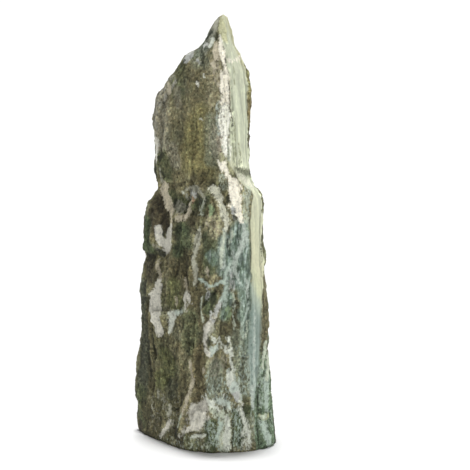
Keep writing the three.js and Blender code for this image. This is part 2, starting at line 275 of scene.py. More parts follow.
# %% Grooves: side of the stone, half width, depth (negative for a rib), path of (x, height)
FRONT, BACK = -1, 1
GROOVES = {
    "hollow_under_lip": (FRONT, 42, 13, ((-84, 690), (-46, 694), (-6, 686))),
    "left_crack": (FRONT, 14, 9, ((-162, 330), (-154, 248), (-166, 150))),
    "left_notch": (FRONT, 24, 8, ((-186, 520), (-150, 532), (-124, 548))),
    "brown_trough": (FRONT, 26, 8, ((-14, 440), (-18, 306), (-24, 140))),
    "middle_rib": (FRONT, 26, -8, ((-38, 600), (-46, 456), (-56, 330))),
    "low_rib": (FRONT, 22, -7, ((-46, 255), (-42, 204), (-58, 140), (-80, 50))),
    "front_groove": (FRONT, 18, 8, ((18, 748), (42, 690), (58, 630), (66, 560))),
    "spire_hollow": (FRONT, 16, 8, ((8, 1152), (28, 1134))),
    "right_groove": (FRONT, 14, 4, ((141, 230), (146, 0))),
    "base_split": (FRONT, 18, 8, ((-104, 30), (-84, 90), (-72, 150))),
    "slab_dip": (FRONT, 60, 7, ((-60, 1010), (-70, 880))),
    "slab_swell": (FRONT, 70, -9, ((-30, 960), (-50, 820))),
    "left_body_swell": (FRONT, 46, -9, ((-150, 655), (-152, 590))),
    "back_cleft": (BACK, 22, 16, ((-70, 640), (-58, 480), (-74, 300), (-60, 150))),
    "back_hollow": (BACK, 60, 14, ((70, 420), (92, 330))),
    "back_scar": (BACK, 48, 12, ((-20, 900), (-36, 800))),
    "back_ridge": (BACK, 34, -12, ((-18, 560), (10, 400), (4, 220), (20, 0))),
    "back_crack": (BACK, 14, 10, ((86, 690), (72, 590), (88, 470))),
}

# %% Lips: side, how far they stand out, reach up the face, path of (x, height)
LIP_RUN_IN = 26.0                         # a lip dies away over this at the ends of its path
LIPS = {
    "slab_lip": (FRONT, 7, 90, ((-150, 770), (-112, 742), (-87, 738), (-46, 755), (-19, 733),
                                 (3, 716), (24, 730), (52, 790))),
    "slip_face_ledge": (FRONT, 9, 60, ((74, 800), (99, 783), (122, 768))),
    "left_body_lip": (FRONT, 8, 50, ((-196, 548), (-168, 530), (-140, 540))),
    "front_scale": (FRONT, 8, 70, ((-20, 410), (10, 380), (44, 392), (60, 420))),
    "base_scale": (FRONT, 8, 60, ((-60, 62), (-30, 56), (-2, 54))),
    "back_shelf": (BACK, 15, 90, ((-90, 735), (-40, 700), (10, 720), (70, 690), (110, 705))),
    "back_low_lip": (BACK, 12, 80, ((-130, 260), (-90, 230), (-40, 250))),
}

# %% What the grooves and the lips add to the relief
side_of = np.where((normal_y < 0) | (face == 0), FRONT, BACK)


def inside_path(path, at_x, at_z):
    """How deep points lie inside a path of (x, height, half width), in mm: the half width
    minus the distance to the nearest straight stretch, so it is negative outside."""
    depth = np.full(at_x.shape, -np.inf)
    for (ax, az, a_half), (bx, bz, b_half) in zip(path, path[1:]):
        dx, dz = bx - ax, bz - az
        along = np.clip(((at_x - ax) * dx + (at_z - az) * dz) / (dx * dx + dz * dz), 0, 1)
        gap = np.hypot(at_x - ax - along * dx, at_z - az - along * dz)
        depth = np.maximum(depth, a_half + along * (b_half - a_half) - gap)
    return depth


def groove_relief():
    """Minus depth on each path, easing to nothing at its half width."""
    total = np.zeros(flat_x.shape)
    for side, half, depth, path in GROOVES.values():
        cut = depth * ease(inside_path([(x, z, half) for x, z in path], flat_x, flat_z) / half)
        total -= np.where(side_of == side, cut, 0)
    return total


def lip_relief():
    """Depth just above each path, running back to nothing over its reach."""
    total = np.zeros(flat_x.shape)
    for side, depth, reach, path in LIPS.values():
        path_x, path_z = np.array(path, dtype=float).T
        run_in = np.clip((flat_x - path_x[0]) / LIP_RUN_IN, 0, 1)
        run_in = run_in * np.clip((path_x[-1] - flat_x) / LIP_RUN_IN, 0, 1)
        above = flat_z - np.interp(flat_x, path_x, path_z)
        lip = np.where(above < 0, 0, depth * run_in * np.clip(1 - above / reach, 0, 1))
        total += np.where(side_of == side, lip, 0)
    return total


print("grooves and ribs:", len(GROOVES), "lips:", len(LIPS))

# %% How rough each face is, and how ribbed
SLAB_FOOT, SLAB_RUN = 730.0, 50.0         # mm: the slab starts here, and is flat after this run
from_face_before = np.where(share == 0, 0.5, 0.0)   # on an arris, half comes from that face


def of_faces(key, default=1.0):
    """A share at every grid point: its face's own, and the mean of two faces on an arris."""
    own = np.array([arris.get(key, default) for arris in ARRISES.values()])
    return own[face] * (1 - from_face_before) + own[face - 1] * from_face_before


on_slab = ease((flat_z - SLAB_FOOT) / SLAB_RUN)
kept = 1 + (of_faces("slab") - 1) * on_slab
rough = of_faces("rough") * kept
fibre = of_faces("fibre") * kept
print("rough from", round(float(rough.min()), 2), "to", round(float(rough.max()), 2))

# %% Relief: how far the rock stands out from its flat faces
ARRIS_REACH = 16.0                        # an arris is worn this far to each side, in mm
TIP_FADE, TIP_RELIEF_LEFT = 170.0, 0.15   # over this height the relief fades to this share
BASE_FADE, BASE_RELIEF_LEFT = 90.0, 0.45  # and so towards the sawn foot, which is straighter
FOOT_CHIP, FOOT_CHIP_HEIGHT = 4.5, 8.0    # the saw tore chips off the lower edge, in mm
TORN, TORN_VARIES = 0.65, (smooth_noise, 18, 30, 0.35, 89)   # share of the chip, and its noise

worn = (worn + ARRIS_WEAR) * np.clip(1 - arris_distance / ARRIS_REACH, 0, 1)
broad_relief = rough * (facets + plates + lumps) + fibre * ribs - worn
broad_relief = broad_relief + groove_relief() + lip_relief()
fine_relief = rough * (flakes + chips + grit)

tip_share = np.clip((HEIGHT - flat_z) / TIP_FADE, 0, 1)
base_share = np.clip(flat_z / BASE_FADE, 0, 1)
relief = (broad_relief + fine_relief) * (TIP_RELIEF_LEFT + (1 - TIP_RELIEF_LEFT) * tip_share)
relief = relief * (BASE_RELIEF_LEFT + (1 - BASE_RELIEF_LEFT) * base_share)
torn = TORN + layer(*TORN_VARIES)
relief = relief - FOOT_CHIP * torn * ease(1 - flat_z / FOOT_CHIP_HEIGHT)
stone_x = flat_x + normal_x * relief
stone_y = flat_y + normal_y * relief
print("relief from", round(float(relief.min()), 1), "to", round(float(relief.max()), 1), "mm")

# %% [markdown]
# ## From rings to a closed mesh
# The rings become a mesh when each point is joined to the next in its ring and to the ring
# above, in faces of four corners. A fan of triangles closes the tip, and one flat face the
# sawn base. Most of the stone is shaded smooth, but a steep step keeps a crisp edge, as a
# fresh break has.

# %% The stone's mesh
def closed_mesh(name, x, y, z, tip):
    """A mesh from rings of points, x, y and z in mm: quads between rings, a fan to the tip
    and one face under the lowest ring."""
    rings, count = x.shape
    points = np.stack([x, y, z], axis=-1).reshape(-1, 3)
    points = np.vstack([points, tip]) * MM
    here = np.arange(count)
    after = (here + 1) % count
    low = np.arange(rings - 1)[:, None] * count
    quads = np.stack([low + here, low + after, low + after + count, low + here + count], axis=-1)
    top = (rings - 1) * count
    fan = np.stack([top + here, top + after, np.full(count, rings * count)], axis=-1)
    base = here[::-1]
    mesh = bpy.data.meshes.new(name)
    faces = [*quads.reshape(-1, 4).tolist(), *fan.tolist(), base.tolist()]
    mesh.from_pydata(points, [], faces)
    mesh.validate()
    return mesh


# Fine relief may pass the solid's box by a hair, so it is held back at the box's sides.
box_low, box_high = (np.array(corner) / MM for corner in cad_box)
stone_x = np.clip(stone_x, box_low[0], box_high[0])
stone_y = np.clip(stone_y, box_low[1], box_high[1])
stone_mesh = closed_mesh("stone", stone_x, stone_y, flat_z, (*TIP, HEIGHT))

SHARP_STEP = 48                           # degrees: a step steeper than this stays crisp
stone_mesh.shade_smooth()
stone_mesh.set_sharp_from_angle(angle=np.radians(SHARP_STEP))
stone = bpy.data.objects.new("stone", stone_mesh)
bpy.context.collection.objects.link(stone)
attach(stone, "root")
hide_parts("monolith")
print("stone mesh:", len(stone_mesh.polygons), "faces")

# %% [markdown]
# ## The colours, drawn on the unrolled stone
# Minerals fill old cracks and soak into the layers, so the colours don't follow the faces. A
# painted picture would need an image file; instead every patch and vein is a short path on the
# unrolled surface: the distance round the stone from its front arris, the height, and the half
# width there, in mm. From the paths numpy works out how deep each point of the mesh lies
# inside the nearest vein, and the mesh stores that depth. The material turns it into a crisp,
# ragged edge.

# %% Colours as they look on the stone, in sRGB
LIGHT_ON_STONE = 0.905                    # how bright the studio shows a white stone


def albedo(look):
    """The rock's own colour for a look in sRGB hex: made linear, by a straight part near
    black and then the power 2.4, over the light that falls on it."""
    srgb = np.array([int(look[i:i + 2], 16) for i in (1, 3, 5)]) / 255
    light = np.where(srgb <= 0.04045, srgb / 12.92, ((srgb + 0.055) / 1.055) ** 2.4)
    return light / LIGHT_ON_STONE


ROCK = {name: albedo(look) for name, look in {
    "olive": "#6b674c", "grey_olive": "#868270", "dark_green": "#4e543a",
    "yellow_olive": "#736e48", "tan_olive": "#908b6f", "mauve_grey": "#9a9484",
    "grey_green": "#717663", "slate_green": "#586157", "dark_brown": "#3f3a2a",
    "deep_green": "#404b34", "deep_brown": "#3d392b", "slate_dark": "#44473a",
    "olive_brown": "#504c36", "moss": "#5b5f3c", "moss_grey": "#585c42",
    "olive_low": "#4a4933", "brown_band": "#655f46", "teal_green": "#6b7d6b",
    "straw_olive": "#858265", "blue_green": "#717f72", "mauve_green": "#6b7060",
}.items()}
MINERAL = {name: albedo(look) for name, look in {
    "cream": "#f6f1df", "chalk": "#f6f6e8", "ice": "#b3bdb2", "beige": "#aca590",
    "pinkish": "#c6c4b7", "stone_grey": "#9e9e8d", "lilac": "#b0b2ac", "pale_green": "#bac2ae",
    "mint": "#a8b6a9", "straw": "#b7b792", "rust": "#b3947a", "slate": "#8a897a",
    "bright_green": "#899b75", "tan": "#beb69f", "grey_pale": "#a1a095",
    "mauve_pale": "#95917f", "grey_white": "#c5c9bc", "pale_cream": "#dfdfca",
    # The last colour on the next line is no mineral: it is painted shadow, for the shade under the
    # ledge on the slip face.
    "olive_line": "#8f9274", "teal_line": "#73857b", "painted_ledge_shadow": "#7c8068",
}.items()}
print("rock colours:", len(ROCK), "minerals:", len(MINERAL))

# %% Ground colours in the order they are laid: colour, cover, then (round, height, radius)
GROUND = (
    ("grey_olive", 0.75, (-216, 986, 45), (-222, 924, 53), (-218, 855, 45)),
    ("dark_green", 0.6, (-145, 1060, 32), (-166, 1021, 31), (-141, 990, 27)),
    ("yellow_olive", 0.8, (-70, 941, 28), (-88, 878, 46), (-92, 810, 52), (-59, 778, 34)),
    ("tan_olive", 0.7, (-24, 1074, 23), (-21, 1027, 26), (-30, 974, 23)),
    ("mauve_grey", 0.7, (-30, 883, 20), (-28, 839, 26)),
    ("grey_green", 0.6, (-38, 921, 23), (-49, 866, 20), (-44, 812, 23)),
    ("dark_green", 0.75, (-209, 806, 29), (-191, 774, 27), (-184, 752, 18)),
    ("grey_olive", 0.6, (-169, 832, 24), (-154, 800, 24)),
    ("dark_brown", 0.5, (-63, 763, 26), (-48, 738, 20), (-42, 747, 17)),
    ("slate_green", 0.8, (-63, 1126, 38), (-72, 1104, 24), (-48, 1147, 23)),
    ("grey_green", 0.6, (-81, 1083, 27), (-58, 1073, 21)),
    ("dark_green", 0.85, (-160, 702, 22), (-142, 687, 23), (-81, 678, 27), (-47, 687, 24),
        (-33, 705, 18)),
    ("dark_brown", 0.7, (-107, 621, 33), (-51, 660, 24)),
    ("dark_brown", 0.95, (-201, 676, 34), (-192, 650, 40), (-174, 625, 40)),
    ("deep_green", 0.9, (-235, 621, 25), (-238, 581, 33), (-223, 543, 34)),
    ("deep_brown", 0.85, (-216, 510, 34), (-195, 477, 30)),
    ("slate_dark", 0.9, (-236, 442, 23), (-253, 364, 27), (-244, 294, 28), (-259, 144, 28)),
    ("dark_green", 0.85, (-266, 113, 36), (-259, 56, 41)),
    ("olive_brown", 0.8, (-94, 529, 51), (-98, 478, 44)),
    ("moss", 0.7, (-106, 460, 29), (-113, 418, 29), (-82, 413, 24)),
    ("deep_green", 0.8, (-87, 613, 30), (-72, 583, 30), (-97, 562, 26)),
    ("olive_brown", 0.8, (-61, 549, 27), (-55, 499, 30), (-33, 432, 30)),
    ("moss_grey", 0.8, (-44, 379, 30), (-39, 341, 30), (-48, 302, 30)),
    ("olive_low", 0.7, (-143, 271, 60), (-151, 197, 67), (-149, 127, 60)),
    ("moss", 0.6, (-141, 254, 30), (-117, 230, 27), (-164, 181, 30)),
    ("slate_dark", 0.6, (-118, 173, 24), (-122, 149, 20)),
    ("grey_olive", 0.6, (-148, 993, 15), (-145, 958, 15)),
    ("deep_brown", 0.9, (-276, 25, 15), (-277, 1, 15), (-216, 3, 13)),
    ("olive_brown", 0.8, (-231, 72, 41), (-211, 40, 40), (-177, 68, 33)),
    ("brown_band", 0.95, (-11, 307, 18), (-19, 263, 24), (-20, 177, 24), (-36, 141, 18)),
    ("deep_green", 0.7, (-2, 610, 23), (7, 572, 28), (10, 522, 25)),
    ("teal_green", 0.6, (13, 555, 19), (20, 540, 14)),
    ("tan_olive", 0.6, (2, 648, 28), (18, 621, 25)),
    ("straw_olive", 0.85, (65, 727, 18), (88, 692, 17), (97, 657, 14)),
    ("blue_green", 0.95, (84, 630, 28), (82, 547, 44), (90, 500, 42)),
    ("blue_green", 0.7, (44, 598, 19), (50, 515, 22)),
    ("blue_green", 0.8, (115, 458, 25), (121, 286, 20)),
    ("olive_brown", 0.85, (80, 415, 25), (63, 348, 25), (92, 357, 22)),
    ("teal_green", 0.7, (66, 438, 19), (58, 388, 14)),
    ("deep_green", 0.8, (16, 441, 22), (13, 410, 19)),
    ("grey_green", 0.8, (103, 288, 25), (110, 172, 25), (97, 331, 22)),
    ("mauve_green", 0.8, (33, 247, 25), (25, 175, 25)),
    ("deep_green", 0.8, (9, 85, 20), (2, 16, 22)),
    ("deep_green", 0.85, (87, 112, 17), (83, 35, 22), (119, 115, 17)),
    ("grey_green", 0.7, (127, 87, 20), (129, 42, 23)),
    ("moss_grey", 0.7, (-70, 31, 23), (-46, 17, 23)),
    ("deep_brown", 0.8, (-104, 47, 19), (-91, 27, 18)),
    ("deep_green", 0.7, (215, 620, 50), (225, 480, 60), (230, 330, 50)),
    ("grey_green", 0.7, (250, 200, 60), (262, 90, 60)),
    ("olive_brown", 0.7, (150, 960, 50), (160, 860, 50)),
    ("blue_green", 0.7, (416, 545, 22), (436, 470, 44), (426, 380, 48), (446, 300, 32), (438, 220, 18)),
    ("deep_green", 0.7, (420, 120, 60), (460, 60, 70)),
    ("olive_brown", 0.7, (640, 160, 70), (700, 80, 60)),
    ("moss", 0.6, (500, 480, 50), (510, 380, 50)),
    ("dark_green", 0.7, (340, 480, 40), (345, 380, 50), (335, 280, 40)),
    ("olive_brown", 0.7, (260, 860, 50), (240, 780, 50)),
    ("moss_grey", 0.7, (400, 900, 40), (420, 820, 50)),
    ("tan_olive", 0.5, (310, 640, 50), (300, 560, 40)),
    ("moss_grey", 0.7, (360, 700, 50), (380, 600, 50)),
    ("slate_dark", 0.8, (560, 600, 40), (570, 420, 45), (590, 250, 40)),
    ("grey_olive", 0.6, (330, 980, 40), (340, 880, 40)),
    ("dark_brown", 0.7, (640, 480, 50), (660, 330, 50)),
)

# %% Veins and pale patches: mineral, then paths of (round, height, half width)
VEINS = {
    "cream": [
        ((-6, 1135, 5), (-3, 1112, 8), (8, 1053, 4.5), (10, 1033, 6), (6, 1015, 8), (10, 978, 5.5),
            (7, 962, 4.5)),
        ((-3, 1038, 3.5), (-6, 1017, 4.5), (-7, 996, 3.5)),
        ((-26, 810, 2.5), (-15, 799, 9), (-12, 785, 4)), ((-15, 799, 8), (-2, 808, 3)),
        ((-10, 796, 6), (1, 782, 4.5), (2, 771, 5.5), (9, 763, 7), (26, 747, 15), (39, 733, 14),
            (42, 718, 13), (56, 703, 12), (66, 687, 8), (71, 671, 8), (86, 645, 4)),
        ((23, 735, 4.5), (32, 722, 6), (40, 709, 3)), ((43, 691, 2), (48, 684, 3)),
        ((360, 1010, 2), (356, 960, 4), (366, 900, 6), (360, 850, 4), (372, 790, 9), (368, 740, 12),
            (378, 700, 7), (372, 650, 4), (386, 600, 3))],
    "chalk": [((7, 962, 5.5), (7, 942, 7), (3, 904, 7), (-5, 867, 4.5), (-4, 821, 2)),
        ((-234, 832, 5), (-239, 811, 8), (-238, 794, 6)), ((-79, 1017, 3.5), (-76, 1012, 3.5)),
        ((380, 180, 3), (388, 140, 8), (384, 100, 12), (392, 50, 8), (390, 10, 4))],
    "ice": [((86, 645, 4), (104, 609, 5), (108, 594, 3.5)), ((-98, 383, 5), (-73, 394, 3)),
        ((97, 605, 3), (91, 566, 6), (83, 548, 6), (79, 533, 5.5), (83, 510, 3.5), (96, 480, 2)),
        ((28, 291, 8), (35, 301, 6), (39, 310, 2.5)), ((20, 299, 5), (26, 288, 7), (21, 281, 4.5)),
        ((80, 193, 11), (86, 175, 13)), ((39, 144, 7), (51, 147, 5), (61, 141, 5.5), (66, 127, 5)),
        ((420, 470, 3), (428, 420, 6), (424, 370, 9), (434, 320, 6), (430, 270, 3)),
        ((262, 300, 2), (256, 250, 5), (262, 200, 7), (272, 150, 4))],
    "lilac": [((49, 685, 4.5), (55, 671, 4.5)), ((43, 432, 5), (39, 418, 7), (35, 395, 2.5)),
        ((22, 405, 3), (23, 389, 3.5), (28, 375, 4)), ((87, 169, 11), (90, 158, 10), (90, 147, 5.5)),
        ((-58, 1116, 4.5), (-48, 1120, 3.5)), ((-103, 1092, 10), (-113, 1085, 12), (-122, 1077, 8)),
        ((-76, 1080, 4.5), (-70, 1070, 3))],
    "tan": [
        ((-197, 738, 7), (-195, 723, 15), (-186, 708, 13), (-160, 677, 12), (-143, 663, 10),
            (-140, 649, 5.5), (-131, 635, 3)),
        ((-18, 1114, 6), (-21, 1100, 7), (-17, 1086, 5)), ((-30, 1068, 5.5), (-24, 1058, 4))],
    "pinkish": [((-177, 609, 12), (-174, 600, 14), (-172, 578, 9)),
        ((-131, 628, 4), (-135, 612, 12), (-136, 578, 15)),
        ((-168, 582, 11), (-162, 572, 14), (-147, 565, 18), (-155, 551, 11), (-159, 542, 4)),
        ((-164, 468, 4), (-172, 452, 11), (-177, 433, 12), (-185, 410, 20), (-188, 392, 28),
            (-178, 371, 26), (-172, 332, 18), (-163, 320, 10)),
        ((-156, 341, 9), (-155, 310, 3)), ((-56, 453, 3.5), (-50, 441, 7), (-46, 431, 5.5)),
        ((-59, 443, 6), (-65, 430, 4.5), (-55, 400, 2)), ((26, 372, 5), (16, 366, 10), (0, 321, 5)),
        ((0, 321, 4), (6, 309, 3), (7, 295, 4.5), (13, 287, 7), (16, 277, 3.5)),
        ((-3, 151, 4.5), (-11, 134, 12), (-21, 121, 20), (-30, 104, 25), (-34, 88, 21), (-36, 76, 14),
            (-53, 67, 6), (-75, 53, 3)),
        ((-43, 130, 7), (-47, 115, 10)), ((-133, 71, 5), (-144, 49, 6), (-178, 14, 6)),
        ((-232, 857, 6), (-232, 840, 9), (-228, 824, 7)),
        ((500, 640, 3), (486, 560, 14), (490, 510, 10), (482, 470, 4)),
        ((230, 560, 2), (236, 510, 6), (230, 460, 9), (238, 400, 5), (234, 360, 2)),
        ((700, 560, 3), (694, 520, 8), (700, 480, 12), (706, 430, 6), (700, 390, 3))],
    "beige": [((-175, 524, 3), (-178, 502, 3), (-163, 471, 5)),
        ((-64, 489, 2.5), (-63, 468, 2.5), (-57, 457, 4)), ((-99, 429, 3), (-93, 406, 2.5)),
        ((-86, 707, 3), (-79, 666, 5), (-87, 656, 5.5), (-99, 656, 3)),
        ((-116, 648, 4.5), (-105, 646, 8)), ((-14, 645, 3), (-8, 635, 2)),
        ((-3, 241, 5), (-4, 235, 4.5)),
        ((-45, 259, 3.5), (-43, 241, 5.5), (-37, 226, 3.5), (-38, 209, 2.5), (-44, 191, 5),
            (-55, 152, 5), (-80, 98, 3)),
        ((-181, 1012, 6), (-176, 1001, 8), (-176, 987, 6)),
        ((540, 420, 2), (532, 370, 5), (538, 320, 7), (520, 200, 3)),
        ((200, 860, 2), (206, 820, 4), (200, 780, 3)),
        ((730, 260, 2), (724, 200, 6), (732, 140, 8), (740, 70, 4))],
    "grey_white": [((-108, 381, 11), (-106, 373, 11), (-112, 357, 9), (-118, 324, 3.5)),
        ((-120, 718, 3.5), (-116, 717, 3)), ((28, 332, 3), (29, 317, 3)),
        ((43, 327, 2.5), (41, 313, 3)), ((73, 328, 2.5), (74, 314, 3)),
        ((62, 300, 3), (64, 288, 6), (74, 286, 7), (82, 296, 3.5)), ((76, 280, 5), (81, 273, 4)),
        ((76, 267, 2), (84, 234, 2.5)), ((72, 224, 7), (72, 209, 11), (74, 193, 11)),
        ((90, 147, 3.5), (105, 133, 3)), ((-2, 168, 3), (5, 152, 6), (18, 141, 9)),
        ((18, 141, 5.5), (29, 129, 5), (35, 119, 3.5)),
        ((56, 95, 8), (53, 57, 8), (50, 37, 11), (50, 18, 10)),
        ((96, 119, 3.5), (101, 104, 5), (113, 52, 3), (116, 32, 4.5)), ((54, 166, 2.5), (54, 161, 2.5)),
        ((-52, 43, 3.5), (-22, 46, 5), (-13, 51, 3)), ((-34, 1131, 6), (-41, 1115, 4.5)),
        ((-57, 1039, 2.5), (-53, 1032, 2.5)), ((-67, 921, 2.5), (-64, 918, 2.5))],
    "stone_grey": [
        ((-30, 633, 3), (-33, 616, 7), (-33, 590, 8), (-38, 549, 5), (-29, 490, 5), (-33, 475, 4)),
        ((-111, 726, 3), (-100, 733, 4.5), (-86, 735, 8), (-65, 730, 6), (-52, 723, 3.5), (-42, 713, 3),
            (-35, 699, 2.5), (-40, 684, 2.5)),
        ((-214, 776, 2.5), (-217, 753, 4), (-210, 737, 4)),
        ((26, 370, 5.5), (25, 353, 5.5), (18, 339, 4)), ((-124, 119, 4.5), (-135, 85, 5.5)),
        ((-171, 148, 3.5), (-173, 129, 3)), ((-202, 108, 3), (-199, 88, 3.5)),
        ((-17, 1185, 7), (-23, 1169, 5.5)),
        ((300, 720, 2), (306, 650, 6), (300, 590, 8), (308, 520, 3)),
        ((650, 300, 2), (656, 240, 4), (650, 180, 5), (660, 120, 3))],
    "rust": [((-79, 706, 3), (-71, 699, 4.5))],
    "bright_green": [((-13, 690, 5.5), (-7, 680, 7), (-5, 668, 5))],
    "pale_cream": [
        ((-33, 740, 4.5), (-20, 731, 8), (11, 704, 5), (28, 687, 5), (41, 654, 5.5), (46, 622, 3)),
        ((600, 420, 2), (606, 380, 6), (600, 330, 9), (610, 280, 4))],
    "pale_green": [((44, 619, 3.5), (41, 579, 5.5), (41, 522, 3)),
        ((-9, 444, 2.5), (-13, 417, 3), (0, 374, 2.5)), ((-78, 104, 3), (-95, 79, 3.5), (-96, 66, 3.5)),
        ((204, 289, 6), (193, 270, 8), (179, 256, 6)), ((183, 245, 5), (170, 234, 4.5)),
        ((219, 262, 4), (198, 220, 4.5), (191, 192, 6)), ((156, 94, 3.5), (169, 93, 7)),
        ((600, 760, 2), (596, 700, 4), (604, 640, 3))],
    "straw": [((0, 663, 2.5), (6, 660, 3)), ((19, 659, 3), (25, 652, 2)), ((-1, 634, 2.5), (3, 627, 2)),
        ((21, 638, 2.5), (26, 632, 2)), ((15, 623, 2), (23, 610, 2)), ((11, 266, 3.5), (9, 254, 4.5)),
        ((-4, 1185, 9), (0, 1167, 13), (5, 1149, 12), (10, 1135, 8))],
    "mint": [((67, 536, 3.5), (56, 504, 5.5), (53, 485, 5.5)),
        ((-20, 490, 3), (9, 474, 3), (23, 472, 2), (36, 481, 2.5), (49, 482, 4.5), (59, 472, 5),
            (59, 456, 5), (43, 429, 5.5)),
        ((36, 82, 5.5), (25, 47, 3.5)), ((186, 191, 8), (186, 166, 12), (179, 119, 8)),
        ((160, 75, 6), (166, 51, 8), (174, 29, 11), (175, 14, 8)),
        ((300, 140, 3), (310, 100, 6), (306, 50, 5), (316, 10, 3))],
}

